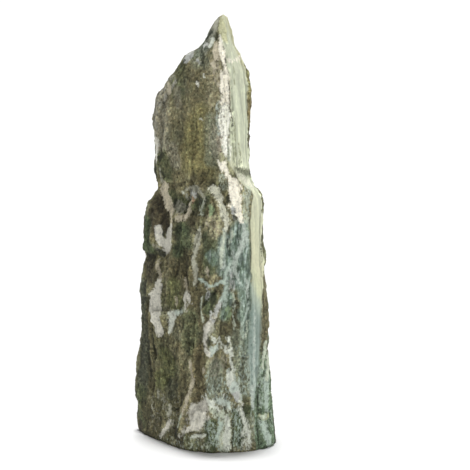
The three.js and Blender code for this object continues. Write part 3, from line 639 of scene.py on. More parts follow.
# %% Pale mineral mixed with dark grains: mineral, then cap, (round, height, half width)
# Its depth stops at the cap, in mm: 3 is nearly solid, 0 covers half and -2 leaves a few grains.
MIXES = {
    "olive_line": [(1, (24, 926, 2), (26, 818, 2)), (1, (41, 855, 3), (41, 804, 3)),
        (0, (39, 1069, 3), (37, 1016, 3))],
    "cream": [(2, (16, 1081, 2), (33, 1076, 3), (95, 1083, 3)), (2, (-2, 1043, 7), (-5, 966, 9))],
    "tan": [(1, (17, 1033, 2), (15, 927, 2)), (2, (-17, 1116, 9), (-16, 1085, 8))],
    "pale_green": [(1.6, (-5, 872, 7), (-5, 846, 10), (1, 818, 9)), (-1, (-14, 764, 9), (2, 742, 10)),
        (1, (74, 731, 13), (90, 700, 10), (93, 668, 9), (100, 641, 6)),
        (1, (78, 454, 3), (85, 424, 3), (90, 351, 2)), (2, (62, 625, 2), (66, 602, 2), (59, 574, 2)),
        (1, (126, 372, 3), (119, 321, 3)), (2, (49, 101, 14), (44, 48, 17), (44, 18, 16)),
        (2, (12, 137, 8), (21, 121, 13), (28, 111, 11)), (-0.2, (37, 113, 12), (57, 112, 10)),
        (-2, (-64, 29, 12), (-35, 21, 12), (-4, 21, 12)),
        (2, (189, 293, 8), (189, 270, 9), (172, 232, 5)),
        (0, (-51, 703, 4), (-42, 687, 7), (-39, 669, 6)),
        (-1.5, (330, 420, 18), (326, 320, 24), (340, 220, 20)),
        (-2, (220, 700, 18), (224, 620, 20), (220, 540, 18)),
        (-1, (300, 1060, 14), (312, 980, 18), (316, 900, 16))],
    "chalk": [(1, (3, 867, 6), (7, 818, 4)),
        (3, (1, 963, 7), (-5, 943, 13), (-7, 924, 15), (-6, 835, 7)), (3, (-3, 1143, 5), (-1, 1130, 7)),
        (1, (218, 280, 4), (222, 244, 4), (199, 216, 4)),
        (0, (380, 180, 12), (384, 110, 18), (392, 40, 18))],
    "ice": [(0, (-15, 964, 9), (-19, 889, 9)),
        (3, (93, 627, 7), (98, 608, 10), (97, 588, 11), (94, 571, 9), (86, 558, 8)),
        (1, (78, 558, 7), (80, 524, 6)), (1, (43, 630, 4), (40, 571, 7), (48, 521, 6)),
        (1, (80, 519, 3), (92, 490, 2)), (1.6, (113, 486, 3), (118, 464, 6), (121, 437, 5)),
        (1, (72, 233, 8), (92, 172, 14), (96, 149, 10)),
        (1, (149, 392, 3), (145, 233, 4), (141, 176, 2)), (2, (136, 176, 6), (135, 117, 5)),
        (-0.5, (18, 151, 7), (60, 144, 11), (71, 136, 8)),
        (-1, (-98, 383, 6), (-78, 391, 6), (-63, 403, 4)), (-2.5, (-134, 16, 7), (-71, 11, 6)),
        (0, (424, 500, 12), (430, 400, 18), (440, 300, 16), (432, 220, 10)),
        (-2, (560, 140, 26), (580, 60, 26))],
    # This band is painted shadow: the shade under the overhanging ledge on the slip face.
    "painted_ledge_shadow": [(3, (28, 792, 2), (43, 785, 8), (69, 777, 10), (135, 762, 13))],
    # The first pale cream path is the slip face's own pale mineral, brightened as a painted highlight
    # on the lit upper slope of the ledge.
    "pale_cream": [(3, (30, 779, 2), (45, 767, 6), (72, 751, 8), (110, 736, 7)),
        (2, (-31, 738, 6), (13, 703, 6), (36, 652, 5)), (1, (26, 684, 6), (36, 668, 7), (45, 641, 6))],
    "beige": [(0, (-22, 1069, 9), (-13, 1017, 9)),
        (-3.2, (-31, 947, 11), (-38, 893, 14), (-33, 853, 14)),
        (1, (-86, 688, 5), (-76, 671, 6), (-81, 657, 7), (-98, 652, 7)),
        (0, (-115, 654, 8), (-102, 647, 9), (-85, 651, 7)),
        (-2.2, (-9, 659, 12), (25, 629, 14), (13, 616, 11)),
        (3, (0, 522, 3), (5, 515, 3), (1, 509, 2), (10, 500, 2)),
        (-2, (560, 720, 22), (548, 600, 26), (552, 480, 22))],
    "stone_grey": [(-1, (-29, 1158, 8), (-51, 1124, 10)),
        (-3, (-78, 1078, 9), (-71, 1099, 12), (-52, 1110, 12)),
        (0, (-12, 144, 9), (-23, 121, 21), (-33, 98, 24), (-28, 75, 15)),
        (0, (-103, 711, 8), (-87, 695, 9), (-88, 674, 8)),
        (-3.2, (-103, 148, 10), (-92, 120, 10), (-105, 68, 10)),
        (2, (-19, 1186, 7), (-28, 1161, 11), (-37, 1153, 8)), (1, (-110, 380, 12), (-114, 335, 7)),
        (-1.8, (-162, 137, 11), (-130, 98, 11)),
        (-3.2, (-204, 115, 14), (-189, 84, 18), (-205, 44, 18)), (-2, (640, 260, 24), (660, 70, 24))],
    "lilac": [(3, (-127, 1077, 7), (-102, 1091, 9)), (2, (-94, 714, 6), (-84, 727, 10), (-71, 713, 7)),
        (0, (53, 691, 7), (67, 655, 6)), (0, (64, 520, 6), (71, 497, 7), (77, 454, 4)),
        (0, (6, 473, 4), (10, 454, 5), (10, 438, 3)), (3, (45, 427, 7), (36, 403, 3))],
    "grey_pale": [
        (-1, (-166, 1021, 15), (-201, 988, 20), (-232, 953, 17), (-247, 913, 17), (-244, 875, 17))],
    "pinkish": [(-2, (-243, 875, 10), (-224, 832, 9)), (0, (34, 398, 4), (21, 367, 7)),
        (1, (20, 375, 7), (13, 359, 10), (3, 320, 7)), (-1.4, (-55, 106, 7), (-86, 36, 4)),
        (0.6, (1, 148, 7), (4, 122, 15), (-2, 102, 9)),
        (0, (-176, 431, 11), (-190, 394, 20), (-175, 357, 20), (-166, 322, 14)),
        (-3, (-130, 72, 7), (-141, 52, 9), (-180, 9, 9)),
        (-1, (-55, 454, 6), (-49, 439, 9), (-47, 422, 8)),
        (0, (366, 940, 10), (362, 860, 14), (372, 760, 18), (376, 680, 12)),
        (-1, (600, 420, 14), (604, 340, 20), (612, 260, 14)),
        (0, (704, 540, 12), (700, 470, 18), (704, 400, 12))],
    "straw": [(2, (-13, 821, 12), (13, 781, 7)), (0, (153, 94, 5), (183, 90, 7))],
    "slate": [(2, (-132, 682, 11), (-112, 672, 12), (-102, 673, 7)),
        (1, (-190, 559, 7), (-184, 551, 11), (-170, 544, 11))],
    "mint": [(1, (128, 420, 4), (107, 358, 4), (113, 328, 4)),
        (2, (-11, 486, 4), (2, 473, 3), (16, 471, 2), (48, 484, 6), (59, 474, 6), (56, 418, 7)),
        (-2, (15, 221, 14), (26, 186, 17), (49, 195, 17), (54, 166, 14)),
        (-1.6, (103, 288, 11), (114, 252, 14), (116, 212, 14), (110, 172, 14)),
        (1, (38, 93, 8), (23, 39, 8), (30, 15, 8)), (-1, (0, 85, 12), (10, 62, 14), (17, 36, 13)),
        (-1, (81, 114, 11), (81, 18, 13)), (-1.5, (133, 115, 5), (135, 52, 6)),
        (1, (198, 233, 6), (190, 162, 11), (179, 111, 8)),
        (1, (154, 80, 5), (170, 33, 10), (183, 10, 9)),
        (-0.6, (164, 224, 6), (166, 190, 8), (162, 122, 7)),
        (-2.2, (205, 95, 9), (202, 61, 11), (158, 83, 8), (150, 55, 7)),
        (-1, (480, 320, 16), (470, 200, 20), (486, 90, 22)),
        (-1, (240, 380, 16), (250, 140, 22), (262, 50, 18))],
    "bright_green": [(0, (68, 409, 7), (75, 391, 8), (72, 375, 6))],
    "grey_white": [(-1.6, (37, 317, 7), (52, 303, 6), (32, 300, 8)),
        (0, (69, 325, 4), (76, 307, 5), (69, 290, 7), (78, 281, 6)), (1, (75, 267, 3), (84, 232, 3)),
        (-1.2, (-7, 159, 6), (6, 148, 11), (42, 127, 17), (62, 130, 11)),
        (0.6, (95, 123, 7), (107, 78, 10), (106, 22, 14))],
    "mauve_pale": [(-1.6, (23, 268, 14), (33, 236, 17), (51, 245, 17), (63, 267, 14))],
    "teal_line": [(1, (140, 410, 2), (137, 342, 3), (138, 187, 2)), (0, (156, 363, 2), (148, 209, 2))],
}

# %% Cracks, pits, dark seams and one painted shadow: paths of (round, height, half width)
DARK_MARKS = (
    ((-19, 1146, 6), (-20, 1138, 6)), ((-44, 1152, 4.5), (-58, 1130, 4.5)),
    ((-126, 1075, 5.5), (-136, 1061, 7)), ((-65, 1104, 3.5), (-58, 1087, 4), (-63, 1068, 4)),
    ((-214, 804, 10), (-201, 817, 6)), ((-208, 766, 4.5), (-197, 758, 5.5), (-202, 744, 3.5)),
    ((-240, 781, 8), (-243, 765, 12), (-249, 750, 14), (-232, 734, 10), (-227, 717, 8)),
    ((-144, 692, 6), (-142, 676, 4.5)), ((-64, 716, 5), (-50, 705, 6), (-50, 689, 4.5)),
    # The last mark on the next line is painted shadow: the darkest end of the shade under the ledge on
    # the slip face.
    ((-34, 713, 4), (-31, 696, 3.5)), ((112, 768, 4.5), (134, 761, 8)),
    ((16, 1022, 2), (15, 974, 2), (18, 905, 2)), ((7, 1088, 2), (9, 1070, 2)),
    ((-159, 602, 4.5), (-158, 593, 3.5)), ((-185, 548, 7), (-172, 541, 10), (-161, 537, 6)),
    ((-209, 320, 4), (-198, 288, 4.5), (-197, 252, 5.5)), ((-219, 236, 4.5), (-223, 176, 4.5)),
    ((70, 309, 4.5), (72, 303, 4.5)), ((76, 238, 4), (76, 234, 3.5)), ((16, 331, 3.5), (16, 309, 3.5)),
    ((53, 128, 4.5), (53, 123, 4)), ((105, 126, 3.5), (110, 122, 3.5)),
    ((-53, 58, 2.5), (-13, 57, 2.5)), ((-93, 57, 6), (-114, 32, 7)),
    ((160, 184, 2), (151, 129, 2.5), (152, 108, 2)), ((140, 74, 3), (144, 44, 3.5), (145, 16, 3)),
    ((212, 96, 3.5), (215, 57, 4), (208, 14, 4)), ((170, 292, 3.5), (182, 277, 4)),
    ((62, 662, 5), (69, 654, 4)), ((71, 93, 2.5), (65, 14, 2.5)), ((9, 457, 3.5), (10, 449, 3.5)),
    ((21, 450, 5.5), (26, 442, 7), (23, 423, 5.5)), ((54, 600, 3.5), (57, 577, 4)),
    ((24, 714, 4.5), (37, 699, 4.5)), ((520, 620, 3), (528, 520, 5), (540, 420, 4), (534, 320, 3)),
    ((400, 560, 5), (404, 540, 4)), ((180, 690, 3), (186, 620, 3), (180, 540, 2)),
)

# %% Where the marks are measured: the paths waver, so no edge is straight
WAVER = (smooth_noise, 13, 17, 3.0)       # noise, its size across and along, how far, in mm
REACH = 10.0                              # depths are kept up to this far from an edge, in mm
mark_s = around + layer(*WAVER, 101)
mark_z = flat_z + layer(*WAVER, 103)
print("round the stone from", round(float(mark_s.min())), "to", round(float(mark_s.max())), "mm")

# %% The ground: olive rock, drifts of other colours, then the named patches
DRIFT_COVER = 0.3                         # a drift covers the olive by up to this share
WIDE_DRIFT, NARROW_DRIFT = (smooth_noise, 60, 85, 2, 107), (smooth_noise, 38, 55, 2, 109)
RARER = 0.4                               # the narrow drifts are rarer: taken off their noise
FRAY_OUT, FRAY = 0.15, 0.55               # by radius: a patch starts so far out, and fades in
STREAKY = ("blue_green", "teal_green")    # minerals that lie in fine streaks along the layers

ground = np.broadcast_to(ROCK["olive"], (*mark_s.shape, 3)).copy()
wide, narrow = layer(*WIDE_DRIFT), layer(*NARROW_DRIFT)
for colour, amount in (("deep_green", wide), ("olive_brown", -wide),
                       ("grey_green", narrow - RARER), ("tan_olive", -narrow - RARER)):
    ground += (ROCK[colour] - ground) * (DRIFT_COVER * ease(amount))[..., None]

streaks = np.zeros(mark_s.shape)
for colour, cover, *path in GROUND:
    radius = max(point[2] for point in path)
    depth = inside_path(path, mark_s, mark_z)
    cover = cover * ease((depth + FRAY_OUT * radius) / (FRAY * radius))
    ground += (ROCK[colour] - ground) * cover[..., None]
    streaks = streaks * (1 - cover) + cover * (colour in STREAKY)
print("ground patches laid:", len(GROUND))

# %% [markdown]
# ## The slip face and the crust beside it
# One long face on the right is a slip surface: the rock slid there, which polished it, coated
# it with pale green mineral and left fine lines along the slide. It is straw coloured at the
# top, cream in the middle and turns teal lower down, so its colour depends on height alone. A
# table gives its two edges, in mm round the stone, at each height.

# %% Edges of the slip face: height, left edge, right edge
SLIP_EDGES = (
    (113, 133, 134), (176, 130, 151), (241, 128, 161), (328, 130, 167), (371, 136, 170),
    (441, 134, 176), (498, 131, 198), (520, 129, 196), (543, 127, 188), (609, 119, 185),
    (637, 111, 185), (693, 109, 152), (712, 106, 146), (722, 98, 141), (732, 83, 130), (743, 58, 116),
    (757, 38, 127), (770, 31, 137), (797, 9, 145), (829, 4, 136), (857, 6, 114), (926, 13, 106),
    (990, 19, 108), (1054, 15, 107), (1076, 11, 98), (1093, 7, 110), (1112, 6, 130), (1164, -6, 130),
    (1192, -6, 130),
)

# %% Colours by height on the slip face and on the crust
SLIP_COLOURS = (
    (0, "#7d8d7e"), (60, "#8d9f91"), (120, "#9caaa0"), (180, "#98a69c"), (260, "#8d9b92"),
    (380, "#87968c"), (425, "#a5b09f"), (455, "#cdd1ae"), (500, "#d3d3b2"), (600, "#c8caab"),
    (700, "#ccceb2"), (748, "#cdd1b6"), (790, "#c5caaf"), (900, "#c8cdb3"), (1000, "#c5cab1"),
    (1090, "#c0c4ab"), (1125, "#b9b897"), (1190, "#b5b392"))
CRUST_COLOURS = (
    (0, "#586852"), (250, "#64735c"), (285, "#696a51"), (300, "#615d46"), (470, "#67634b"),
    (520, "#76765a"), (560, "#5c5c42"), (700, "#57583f"), (790, "#57583f"), (830, "#737250"),
    (950, "#756a4b"), (1000, "#807d56"), (1090, "#86845c"), (1170, "#a9a888"))


def by_height(stops, height):
    """Colours at a height, straight between stops of (height, look)."""
    levels = [level for level, _ in stops]
    tones = np.stack([albedo(look) for _, look in stops])
    return np.stack([np.interp(height, levels, tones[:, n]) for n in range(3)], axis=-1)


# %% Lay the crust, then the slip face beside it
SLIP_SLANT = 1.5                          # mm of height per mm across the face
FRAY_LEVELS, FRAY_HALVES = (380, 460), (7, 3)   # it frays wider where it turns teal, in mm

levels, left_edge, right_edge = np.array(SLIP_EDGES).T
slip_left = np.interp(mark_z, levels, left_edge)
slip_right = np.interp(mark_z, levels, right_edge)
past_middle = mark_s - (slip_left + slip_right) / 2
crust_faces = [list(ARRISES).index(name) for name in ("slip_face_front", "slip_face_back")]
on_crust = np.isin(face, crust_faces) & (past_middle > 0)
ground[on_crust] = by_height(CRUST_COLOURS, mark_z)[on_crust]

inside_slip = np.minimum(mark_s - slip_left, slip_right - mark_s)
inside_slip[mark_z < levels[0]] = -REACH
fray = np.interp(mark_z, FRAY_LEVELS, FRAY_HALVES)
calm = ease((inside_slip + fray) / (2 * fray))
# The cream reaches lower along the right edge than along the left.
slip_ground = by_height(SLIP_COLOURS, mark_z + SLIP_SLANT * past_middle)
ground += (slip_ground - ground) * calm[..., None]
streaks = streaks * (1 - calm)
print("slip face covers", round(float(calm.mean()) * 100, 1), "% of the grid")

# %% Depth inside the veins, the mixes and the dark marks
# The dark layer darkens the foot towards the ground. It counts as this deep at the ground, and falls by
# 1 mm for each run of height.
FOOT_DARK, FOOT_DARK_RUN = 0.8, 7.0


def deepest(marks):
    """The greatest depth inside any mark, up to its own cap, and the colour of its mineral.
    A mark is (mineral, cap, path)."""
    depth = np.full(mark_s.shape, -REACH)
    tint = np.broadcast_to(MINERAL["chalk"], ground.shape).copy()
    for mineral, cap, path in marks:
        here = np.minimum(inside_path(path, mark_s, mark_z), cap)
        nearer = here > depth
        depth = np.where(nearer, here, depth)
        tint[nearer] = MINERAL[mineral]
    return np.minimum(depth, REACH), tint


veins = [(mineral, np.inf, path) for mineral, paths in VEINS.items() for path in paths]
mixes = [(mineral, cap, path) for mineral, paths in MIXES.items() for cap, *path in paths]
vein, vein_tint = deepest(veins)
mix, mix_tint = deepest(mixes)
dark = FOOT_DARK - flat_z / FOOT_DARK_RUN
for path in DARK_MARKS:
    dark = np.maximum(dark, inside_path(path, mark_s, mark_z))
dark = np.clip(dark, -REACH, REACH)
print("veins:", len(veins), "mixes:", len(mixes), "dark marks:", len(DARK_MARKS))

# %% Painted shade in hollows and painted highlight on raised edges, both read from the relief
EDGE_WINDOWS = ((3, 3.0), (8, 9.0))       # reach in grid points, mm that make a full edge


def blurred(values, reach):
    """The mean over a window of grid points: the sum of shifted copies, along, then around."""
    shifts = range(-reach, reach + 1)
    padded = np.pad(values, ((reach, reach), (0, 0)), mode="edge")
    rows = values.shape[0]
    values = sum(padded[reach + n:reach + n + rows] for n in shifts) / len(shifts)
    return sum(np.roll(values, n, axis=1) for n in shifts) / len(shifts)


# Relief above its blurred self marks an edge and relief below it a hollow: the material paints shade
# into the hollows and highlights onto the edges from this.
edge = sum((relief - blurred(relief, reach)) / full for reach, full in EDGE_WINDOWS)
edge = np.clip(edge, -1, 1)
print("edge shade from", round(float(edge.min()), 2), "to", round(float(edge.max()), 2))

# %% Store them on the mesh
def store(name, values, tip_value):
    """A value or a colour for each vertex: the grid's in order, then the tip's."""
    if values.ndim == 2:
        data = np.append(values.ravel(), tip_value)
        stored_as, field = "FLOAT", "value"
    else:
        data = np.vstack([values.reshape(-1, 3), tip_value])
        data = np.hstack([data, np.ones((len(data), 1))]).ravel()
        stored_as, field = "FLOAT_COLOR", "color"
    stone_mesh.attributes.new(name, stored_as, "POINT").data.foreach_set(field, data)


COLOURS = {                               # each with its value at the tip
    "ground": (ground, by_height(SLIP_COLOURS, HEIGHT)),
    "vein_tint": (vein_tint, MINERAL["straw"]),
    "mix_tint": (mix_tint, MINERAL["straw"]),
}
AMOUNTS = {
    "vein": (vein, -REACH), "mix": (mix, -REACH), "dark": (dark, -REACH),
    "calm": (calm, 0.5), "streaks": (streaks, 0.0), "edge": (edge, 0.0),
}
for name, (values, tip_value) in {**COLOURS, **AMOUNTS}.items():
    store(name, values, tip_value)
print("stored for each vertex:", len(COLOURS), "colours and", len(AMOUNTS), "amounts")

# %% [markdown]
# ## The material: green schist, split and weathered
# Schist is a mass of grains from one to ten millimetres, dark green, olive and brown, with
# paler feldspar and quartz between them, so up close it is speckled and from afar it is
# mottled. Split rock is dull: it has hardly any gloss except on the slip face. The stored
# colours give each place its tone, and noise at real grain sizes breaks that tone up. Every
# pattern reads Object coordinates in millimetres, so it stays fixed to the stone.

# %% One function adds a node
def add(tree, kind, output, settings, wires):
    """Adds a node, sets its properties, fills its inputs with values or links: one output."""
    made = tree.nodes.new(kind)
    for name, value in settings.items():
        setattr(made, name, value)
    for socket, value in wires.items():
        if isinstance(value, bpy.types.NodeSocket):
            tree.links.new(value, made.inputs[socket])
        else:
            made.inputs[socket].default_value = value
    return made.outputs[output]


NOISE, CELLS, RANGE = "ShaderNodeTexNoise", "ShaderNodeTexVoronoi", "ShaderNodeMapRange"
MATH, VECTOR, MIX = "ShaderNodeMath", "ShaderNodeVectorMath", "ShaderNodeMix"
SPLIT, STORED = "ShaderNodeSeparateColor", "ShaderNodeAttribute"
TIMES, SCALED = {"operation": "MULTIPLY"}, {"operation": "SCALE"}
TIMES_PLUS = {"operation": "MULTIPLY_ADD"}
BLENDED, TINTED = {"data_type": "RGBA"}, {"data_type": "RGBA", "blend_type": "MULTIPLY"}
COLOUR_A, COLOUR_B, COLOUR_OUT = 6, 7, 2  # sockets of a Mix node that mixes colours

schist = bpy.data.materials.new("green schist, split and weathered")
schist.use_nodes = True
tree = schist.node_tree
shader = tree.nodes["Principled BSDF"]

# %% The stored colours and depths, and the place on the stone in millimetres
stored = {}
for name in COLOURS:
    stored[name] = add(tree, STORED, "Color", {"attribute_name": name}, {})
for name in AMOUNTS:
    stored[name] = add(tree, STORED, "Fac", {"attribute_name": name}, {})
place = add(tree, "ShaderNodeTexCoord", "Object", {}, {})
place_mm = add(tree, VECTOR, 0, SCALED, {0: place, "Scale": 1 / MM})
print("read from the mesh:", ", ".join(stored))

# %% Noise at the sizes of the rock's grain
# Each is its size in mm, its detail and its squash: heights are read smaller by the squash,
# which draws the pattern out along the layers.
NOISES = {
    "blotch": (26.0, 2, 0.85), "grain": (6.5, 3, 0.85), "grit": (2.8, 2, 0.85),
    "streak": (7.5, 3, 0.13), "line": (5.0, 3, 0.04), "mix_edge": (6.0, 4, 0.5),
    "vein_edge": (5.5, 4, 1.0),
}
NOISE_ROUGHNESS = 0.62
pattern = {}
for name, (size, detail, squash) in NOISES.items():
    drawn_out = add(tree, VECTOR, 0, TIMES, {0: place_mm, 1: (1, 1, squash)})
    pattern[name] = add(tree, NOISE, 0, {}, {
        "Vector": drawn_out, "Scale": 1 / size, "Detail": detail, "Roughness": NOISE_ROUGHNESS})
print("noises:", ", ".join(NOISES))

# %% Single grains, and scattered pale ones as salt: round, well apart, in some cells only
FLECK, SALT, CELL_SQUASH = 5.5, 11.0, 0.85   # sizes in mm
SALT_CHOSEN = (0.60, 0.66)                # cells whose random number is above this hold one
SALT_ROUND = (0.36, 0.22)                 # it fades in between these distances, by cell size
drawn_out = add(tree, VECTOR, 0, TIMES, {0: place_mm, 1: (1, 1, CELL_SQUASH)})
flecks = add(tree, CELLS, "Color", {}, {"Vector": drawn_out, "Scale": 1 / FLECK})
pattern["fleck"] = add(tree, SPLIT, 0, {}, {0: flecks})
pattern["fleck_hue"] = add(tree, SPLIT, 1, {}, {0: flecks})
salts = add(tree, CELLS, "Color", {}, {"Vector": drawn_out, "Scale": 1 / SALT})
lot = add(tree, SPLIT, 0, {}, {0: salts})
middle = add(tree, CELLS, "Distance", {}, {"Vector": drawn_out, "Scale": 1 / SALT})
chosen, inside = (
    add(tree, RANGE, 0, {}, {"Value": value, "From Min": low, "From Max": high})
    for value, (low, high) in ((lot, SALT_CHOSEN), (middle, SALT_ROUND)))
pattern["salt"] = add(tree, MATH, 0, TIMES, {0: chosen, 1: inside})
print("patterns:", len(pattern))

# %% Shades: each is a product of steps
# A step turns a pattern from low to high into a shade from the third number to the fourth.
SHADES = {
    "ground": (("blotch", 0.3, 0.7, 0.84, 1.16), ("grain", 0.3, 0.7, 0.56, 1.42),
               ("grit", 0.3, 0.7, 0.70, 1.30), ("fleck", 0.80, 0.92, 1.0, 1.50),
               ("fleck", 0.08, 0.20, 0.54, 1.0), ("salt", 0.0, 1.0, 1.0, 1.55)),
    "streak": (("grain", 0.3, 0.7, 0.70, 1.25),),
    "slip": (("line", 0.3, 0.7, 0.80, 1.14), ("grain", 0.3, 0.7, 0.93, 1.06)),
    "mix": (("fleck", 0.10, 0.24, 0.68, 1.0), ("grit", 0.3, 0.7, 0.84, 1.12),
            ("grain", 0.3, 0.7, 0.78, 1.14)),
    "vein": (("fleck", 0.10, 0.24, 0.72, 1.0), ("grit", 0.3, 0.7, 0.88, 1.14),
             ("grain", 0.3, 0.7, 0.84, 1.18)),
}
shade = {}
for name, steps in SHADES.items():
    shade[name] = 1.0
    for source, low, high, at_low, at_high in steps:
        step = add(tree, RANGE, 0, {}, {"Value": pattern[source], "From Min": low,
                                        "From Max": high, "To Min": at_low, "To Max": at_high})
        shade[name] = add(tree, MATH, 0, TIMES, {0: shade[name], 1: step})
print("shades:", ", ".join(SHADES))

# %% Speckled ground: some grains are a little redder, some a little greener
WARM, COOL = (1.04, 1.0, 0.96, 1.0), (0.97, 1.01, 1.02, 1.0)
WARM_UP_TO, COOL_FROM = 0.2, 0.8          # by the grain's random number
# Painted shade darkens hollows and a painted highlight brightens edges, first on the ground colour,
# then on the whole body.
GROUND_PAINTED_SHADE, PAINTED_RELIEF_SHADE = (0.65, 1.24), (0.83, 1.10)   # shade in a hollow and on an edge
ground_painted_shade, painted_relief_shade = (
    add(tree, RANGE, 0, {}, {"Value": stored["edge"], "From Min": -1.0, "From Max": 1.0,
                             "To Min": in_hollow, "To Max": on_edge})
    for in_hollow, on_edge in (GROUND_PAINTED_SHADE, PAINTED_RELIEF_SHADE))
# The ground colour gets painted shade in hollows and a painted highlight on edges.
ground_with_painted_shade = add(tree, VECTOR, 0, SCALED, {0: stored["ground"], "Scale": ground_painted_shade})
speckled = add(tree, VECTOR, 0, SCALED, {0: ground_with_painted_shade, "Scale": shade["ground"]})
cool_share = add(tree, RANGE, 0, {}, {
    "Value": pattern["fleck_hue"], "From Min": WARM_UP_TO, "From Max": COOL_FROM})
hue = add(tree, MIX, COLOUR_OUT, BLENDED, {0: cool_share, COLOUR_A: WARM, COLOUR_B: COOL})
body = add(tree, MIX, COLOUR_OUT, TINTED, {0: 1.0, COLOUR_A: speckled, COLOUR_B: hue})
print("ground shade from hollow to edge:", *GROUND_PAINTED_SHADE)

# %% Streaks of blue-green mineral, from dark through middling to pale
STREAK_COLOURS = ("#4a5b4b", "#7f9085", "#b9c6c0")
STREAK_STEPS = ((0.44, 0.54), (0.56, 0.66))
STREAK_COVER = 0.75
streaked, *lighter = [(*albedo(look), 1.0) for look in STREAK_COLOURS]
for (low, high), colour in zip(STREAK_STEPS, lighter):
    cover = add(tree, RANGE, 0, {}, {
        "Value": pattern["streak"], "From Min": low, "From Max": high})
    streaked = add(tree, MIX, COLOUR_OUT, BLENDED,
                   {0: cover, COLOUR_A: streaked, COLOUR_B: colour})
for strength in (shade["streak"], ground_painted_shade):
    streaked = add(tree, VECTOR, 0, SCALED, {0: streaked, "Scale": strength})
cover = add(tree, MATH, 0, TIMES, {0: stored["streaks"], 1: STREAK_COVER})
body = add(tree, MIX, COLOUR_OUT, BLENDED, {0: cover, COLOUR_A: body, COLOUR_B: streaked})
print("streak colours:", len(STREAK_COLOURS))

# %% Layers over the ground, each with a ragged edge
# Each row is: stored depth, noise, wander, low, high, most, colour. The noise moves the depth
# by up to half the wander to each side. From a low to a high depth the layer fades in, and it
# covers the body by most at most.
lined, mixed, veined = (
    add(tree, VECTOR, 0, SCALED, {0: colour, "Scale": shade[name]})
    for colour, name in ((ground_with_painted_shade, "slip"), (stored["mix_tint"], "mix"),
                         (stored["vein_tint"], "vein")))
# The dark layer's colour serves dark seams and cracks, and also painted shadow under the ledge.
dark_and_painted_shadow = (*albedo("#22251a"), 1.0)
LAYERS = (
    ("calm", "grain", 1.6, 0.40, 0.60, 1.0, lined),
    ("mix", "mix_edge", 27.0, -2.6, 3.0, 0.92, mixed),
    ("vein", "vein_edge", 18.0, -2.4, 2.4, 0.95, veined),
    ("dark", "vein_edge", -13.0, -1.0, 1.6, 0.80, dark_and_painted_shadow),
)
for name, source, wander, low, high, most, colour in LAYERS:
    depth = add(tree, MATH, 0, TIMES_PLUS, {0: pattern[source], 1: wander, 2: stored[name]})
    cover = add(tree, RANGE, 0, {}, {"Value": depth, "From Min": low + wander / 2,
                                     "From Max": high + wander / 2, "To Max": most})
    body = add(tree, MIX, COLOUR_OUT, BLENDED, {0: cover, COLOUR_A: body, COLOUR_B: colour})
# Painted shade in hollows and painted highlight on edges, over everything.
body = add(tree, VECTOR, 0, SCALED, {0: body, "Scale": painted_relief_shade})
tree.links.new(body, shader.inputs["Base Color"])
print("layers over the ground:", len(LAYERS))

# %% Gloss, and the feel of the grain: split rock first, then the slip face
GLOSS, FEEL = (0.86, 0.62), (0.75, 0.15)  # roughness, and strength of the bump
SPECULAR = 0.35                           # dry stone mirrors less than a smooth solid
GRIT_SHARE = 0.6                          # how high grit stands beside grain
GRAIN_HEIGHT = 0.0022                     # m
roughness, feel = (
    add(tree, RANGE, 0, {}, {"Value": stored["calm"], "To Min": on_rock, "To Max": on_slip})
    for on_rock, on_slip in (GLOSS, FEEL))
grain_height = add(tree, MATH, 0, TIMES_PLUS,
                   {0: pattern["grit"], 1: GRIT_SHARE, 2: pattern["grain"]})
bump = add(tree, "ShaderNodeBump", "Normal", {},
           {"Strength": feel, "Distance": GRAIN_HEIGHT, "Height": grain_height})
shader.inputs["Specular IOR Level"].default_value = SPECULAR
tree.links.new(roughness, shader.inputs["Roughness"])
tree.links.new(bump, shader.inputs["Normal"])
stone_mesh.materials.append(schist)
print("schist nodes:", len(tree.nodes))

# %% [markdown]
# ## The floor and the studio
# A matt white floor and a white wall all round it make a pale, even room. The floor throws
# light up on the stone, as paper does under a small object, so little extra is needed.
# Two narrow lamps hang behind and above and give the short dark shadow at the foot; a broad
# lamp low at the front right fills the faces the viewer sees.

# %% The floor
FLOOR_HALF = 200.0                        # m, so its edge lies far beyond the view
FLOOR_WHITE, FLOOR_ROUGHNESS = 0.82, 0.9
floor_mesh = bpy.data.meshes.new("floor")
floor_mesh.from_pydata([(x * FLOOR_HALF, y * FLOOR_HALF, 0.0)
                        for x, y in ((-1, -1), (1, -1), (1, 1), (-1, 1))], [], [(0, 1, 2, 3)])
floor = bpy.data.objects.new("floor", floor_mesh)
bpy.context.collection.objects.link(floor)
floor_paint = bpy.data.materials.new("matt white floor")
floor_paint.use_nodes = True
paint = floor_paint.node_tree.nodes["Principled BSDF"].inputs
paint["Base Color"].default_value = (FLOOR_WHITE, FLOOR_WHITE, FLOOR_WHITE, 1)
paint["Roughness"].default_value = FLOOR_ROUGHNESS
floor_mesh.materials.append(floor_paint)
print("floor", 2 * FLOOR_HALF, "m wide")

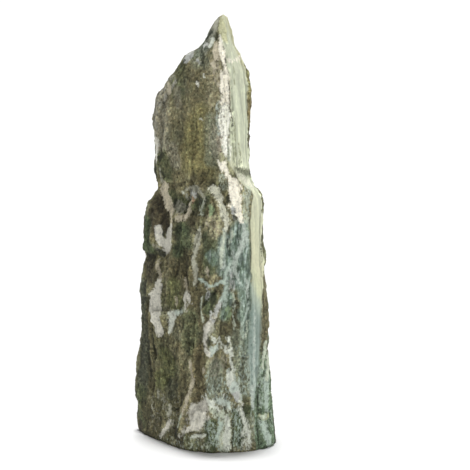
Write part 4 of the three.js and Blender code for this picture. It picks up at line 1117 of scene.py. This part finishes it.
# %% A white wall round the floor, and a softer light above it
WALL_TOP, CEILING = 0.10, 0.22            # sines of the angles between which the wall fades
WALL_LIGHT, CEILING_LIGHT = 1.0, 0.26
world = bpy.data.worlds.new("studio")
bpy.context.scene.world = world
world.use_nodes = True
sky = world.node_tree
outward = add(sky, "ShaderNodeTexCoord", "Generated", {}, {})
upward = add(sky, "ShaderNodeSeparateXYZ", "Z", {}, {0: outward})
glow = add(sky, RANGE, 0, {}, {"Value": upward, "From Min": WALL_TOP, "From Max": CEILING,
                               "To Min": WALL_LIGHT, "To Max": CEILING_LIGHT})
sky.links.new(glow, sky.nodes["Background"].inputs["Strength"])
sky.nodes["Background"].inputs["Color"].default_value = (1, 1, 1, 1)
print("wall and ceiling give", WALL_LIGHT, "and", CEILING_LIGHT)

# %% The lamps: the direction they hang in, strength in W/m2 and spread in degrees
LAMP_DISTANCE = 3                         # m; a sun's distance doesn't change its light
LAMPS = {
    "overhead left": ((-0.06, 0.12, 1.0), 1.6, 6),
    "overhead right": ((0.03, 0.12, 1.0), 1.6, 6),
    "fill": ((1.2, -1.5, 0.27), 1.35, 50),
}
for name, (direction, strength, spread) in LAMPS.items():
    sun = bpy.data.lights.new(name, "SUN")
    sun.energy = strength
    sun.angle = np.radians(spread)
    lamp = bpy.data.objects.new(name, sun)
    bpy.context.collection.objects.link(lamp)
    lamp.location = Vector(direction) * LAMP_DISTANCE
    lamp.rotation_euler = Vector(direction).to_track_quat("Z", "Y").to_euler()
    print(name, "lamp:", strength, "W/m2 over", spread, "degrees")

# %% The camera: a long lens a little above the stone's tip, looking slightly down
CAMERA_AT, LOOKS_AT = Vector((0.077, -3.6, 1.3)), Vector((0.077, 0.0, 0.588))    # m
LENS, SENSOR = 100, 36                    # mm
camera_data = bpy.data.cameras.new("camera")
camera_data.lens = LENS
camera_data.sensor_width = SENSOR
camera = bpy.data.objects.new("camera", camera_data)
bpy.context.collection.objects.link(camera)
camera.location = CAMERA_AT
camera.rotation_euler = (LOOKS_AT - CAMERA_AT).to_track_quat("-Z", "Y").to_euler()
scene = bpy.context.scene
scene.camera = camera
scene.view_settings.view_transform = "Standard"
print("camera", round((LOOKS_AT - CAMERA_AT).length, 2), "m from the stone")

# %% The end of the scene
print("scene built")
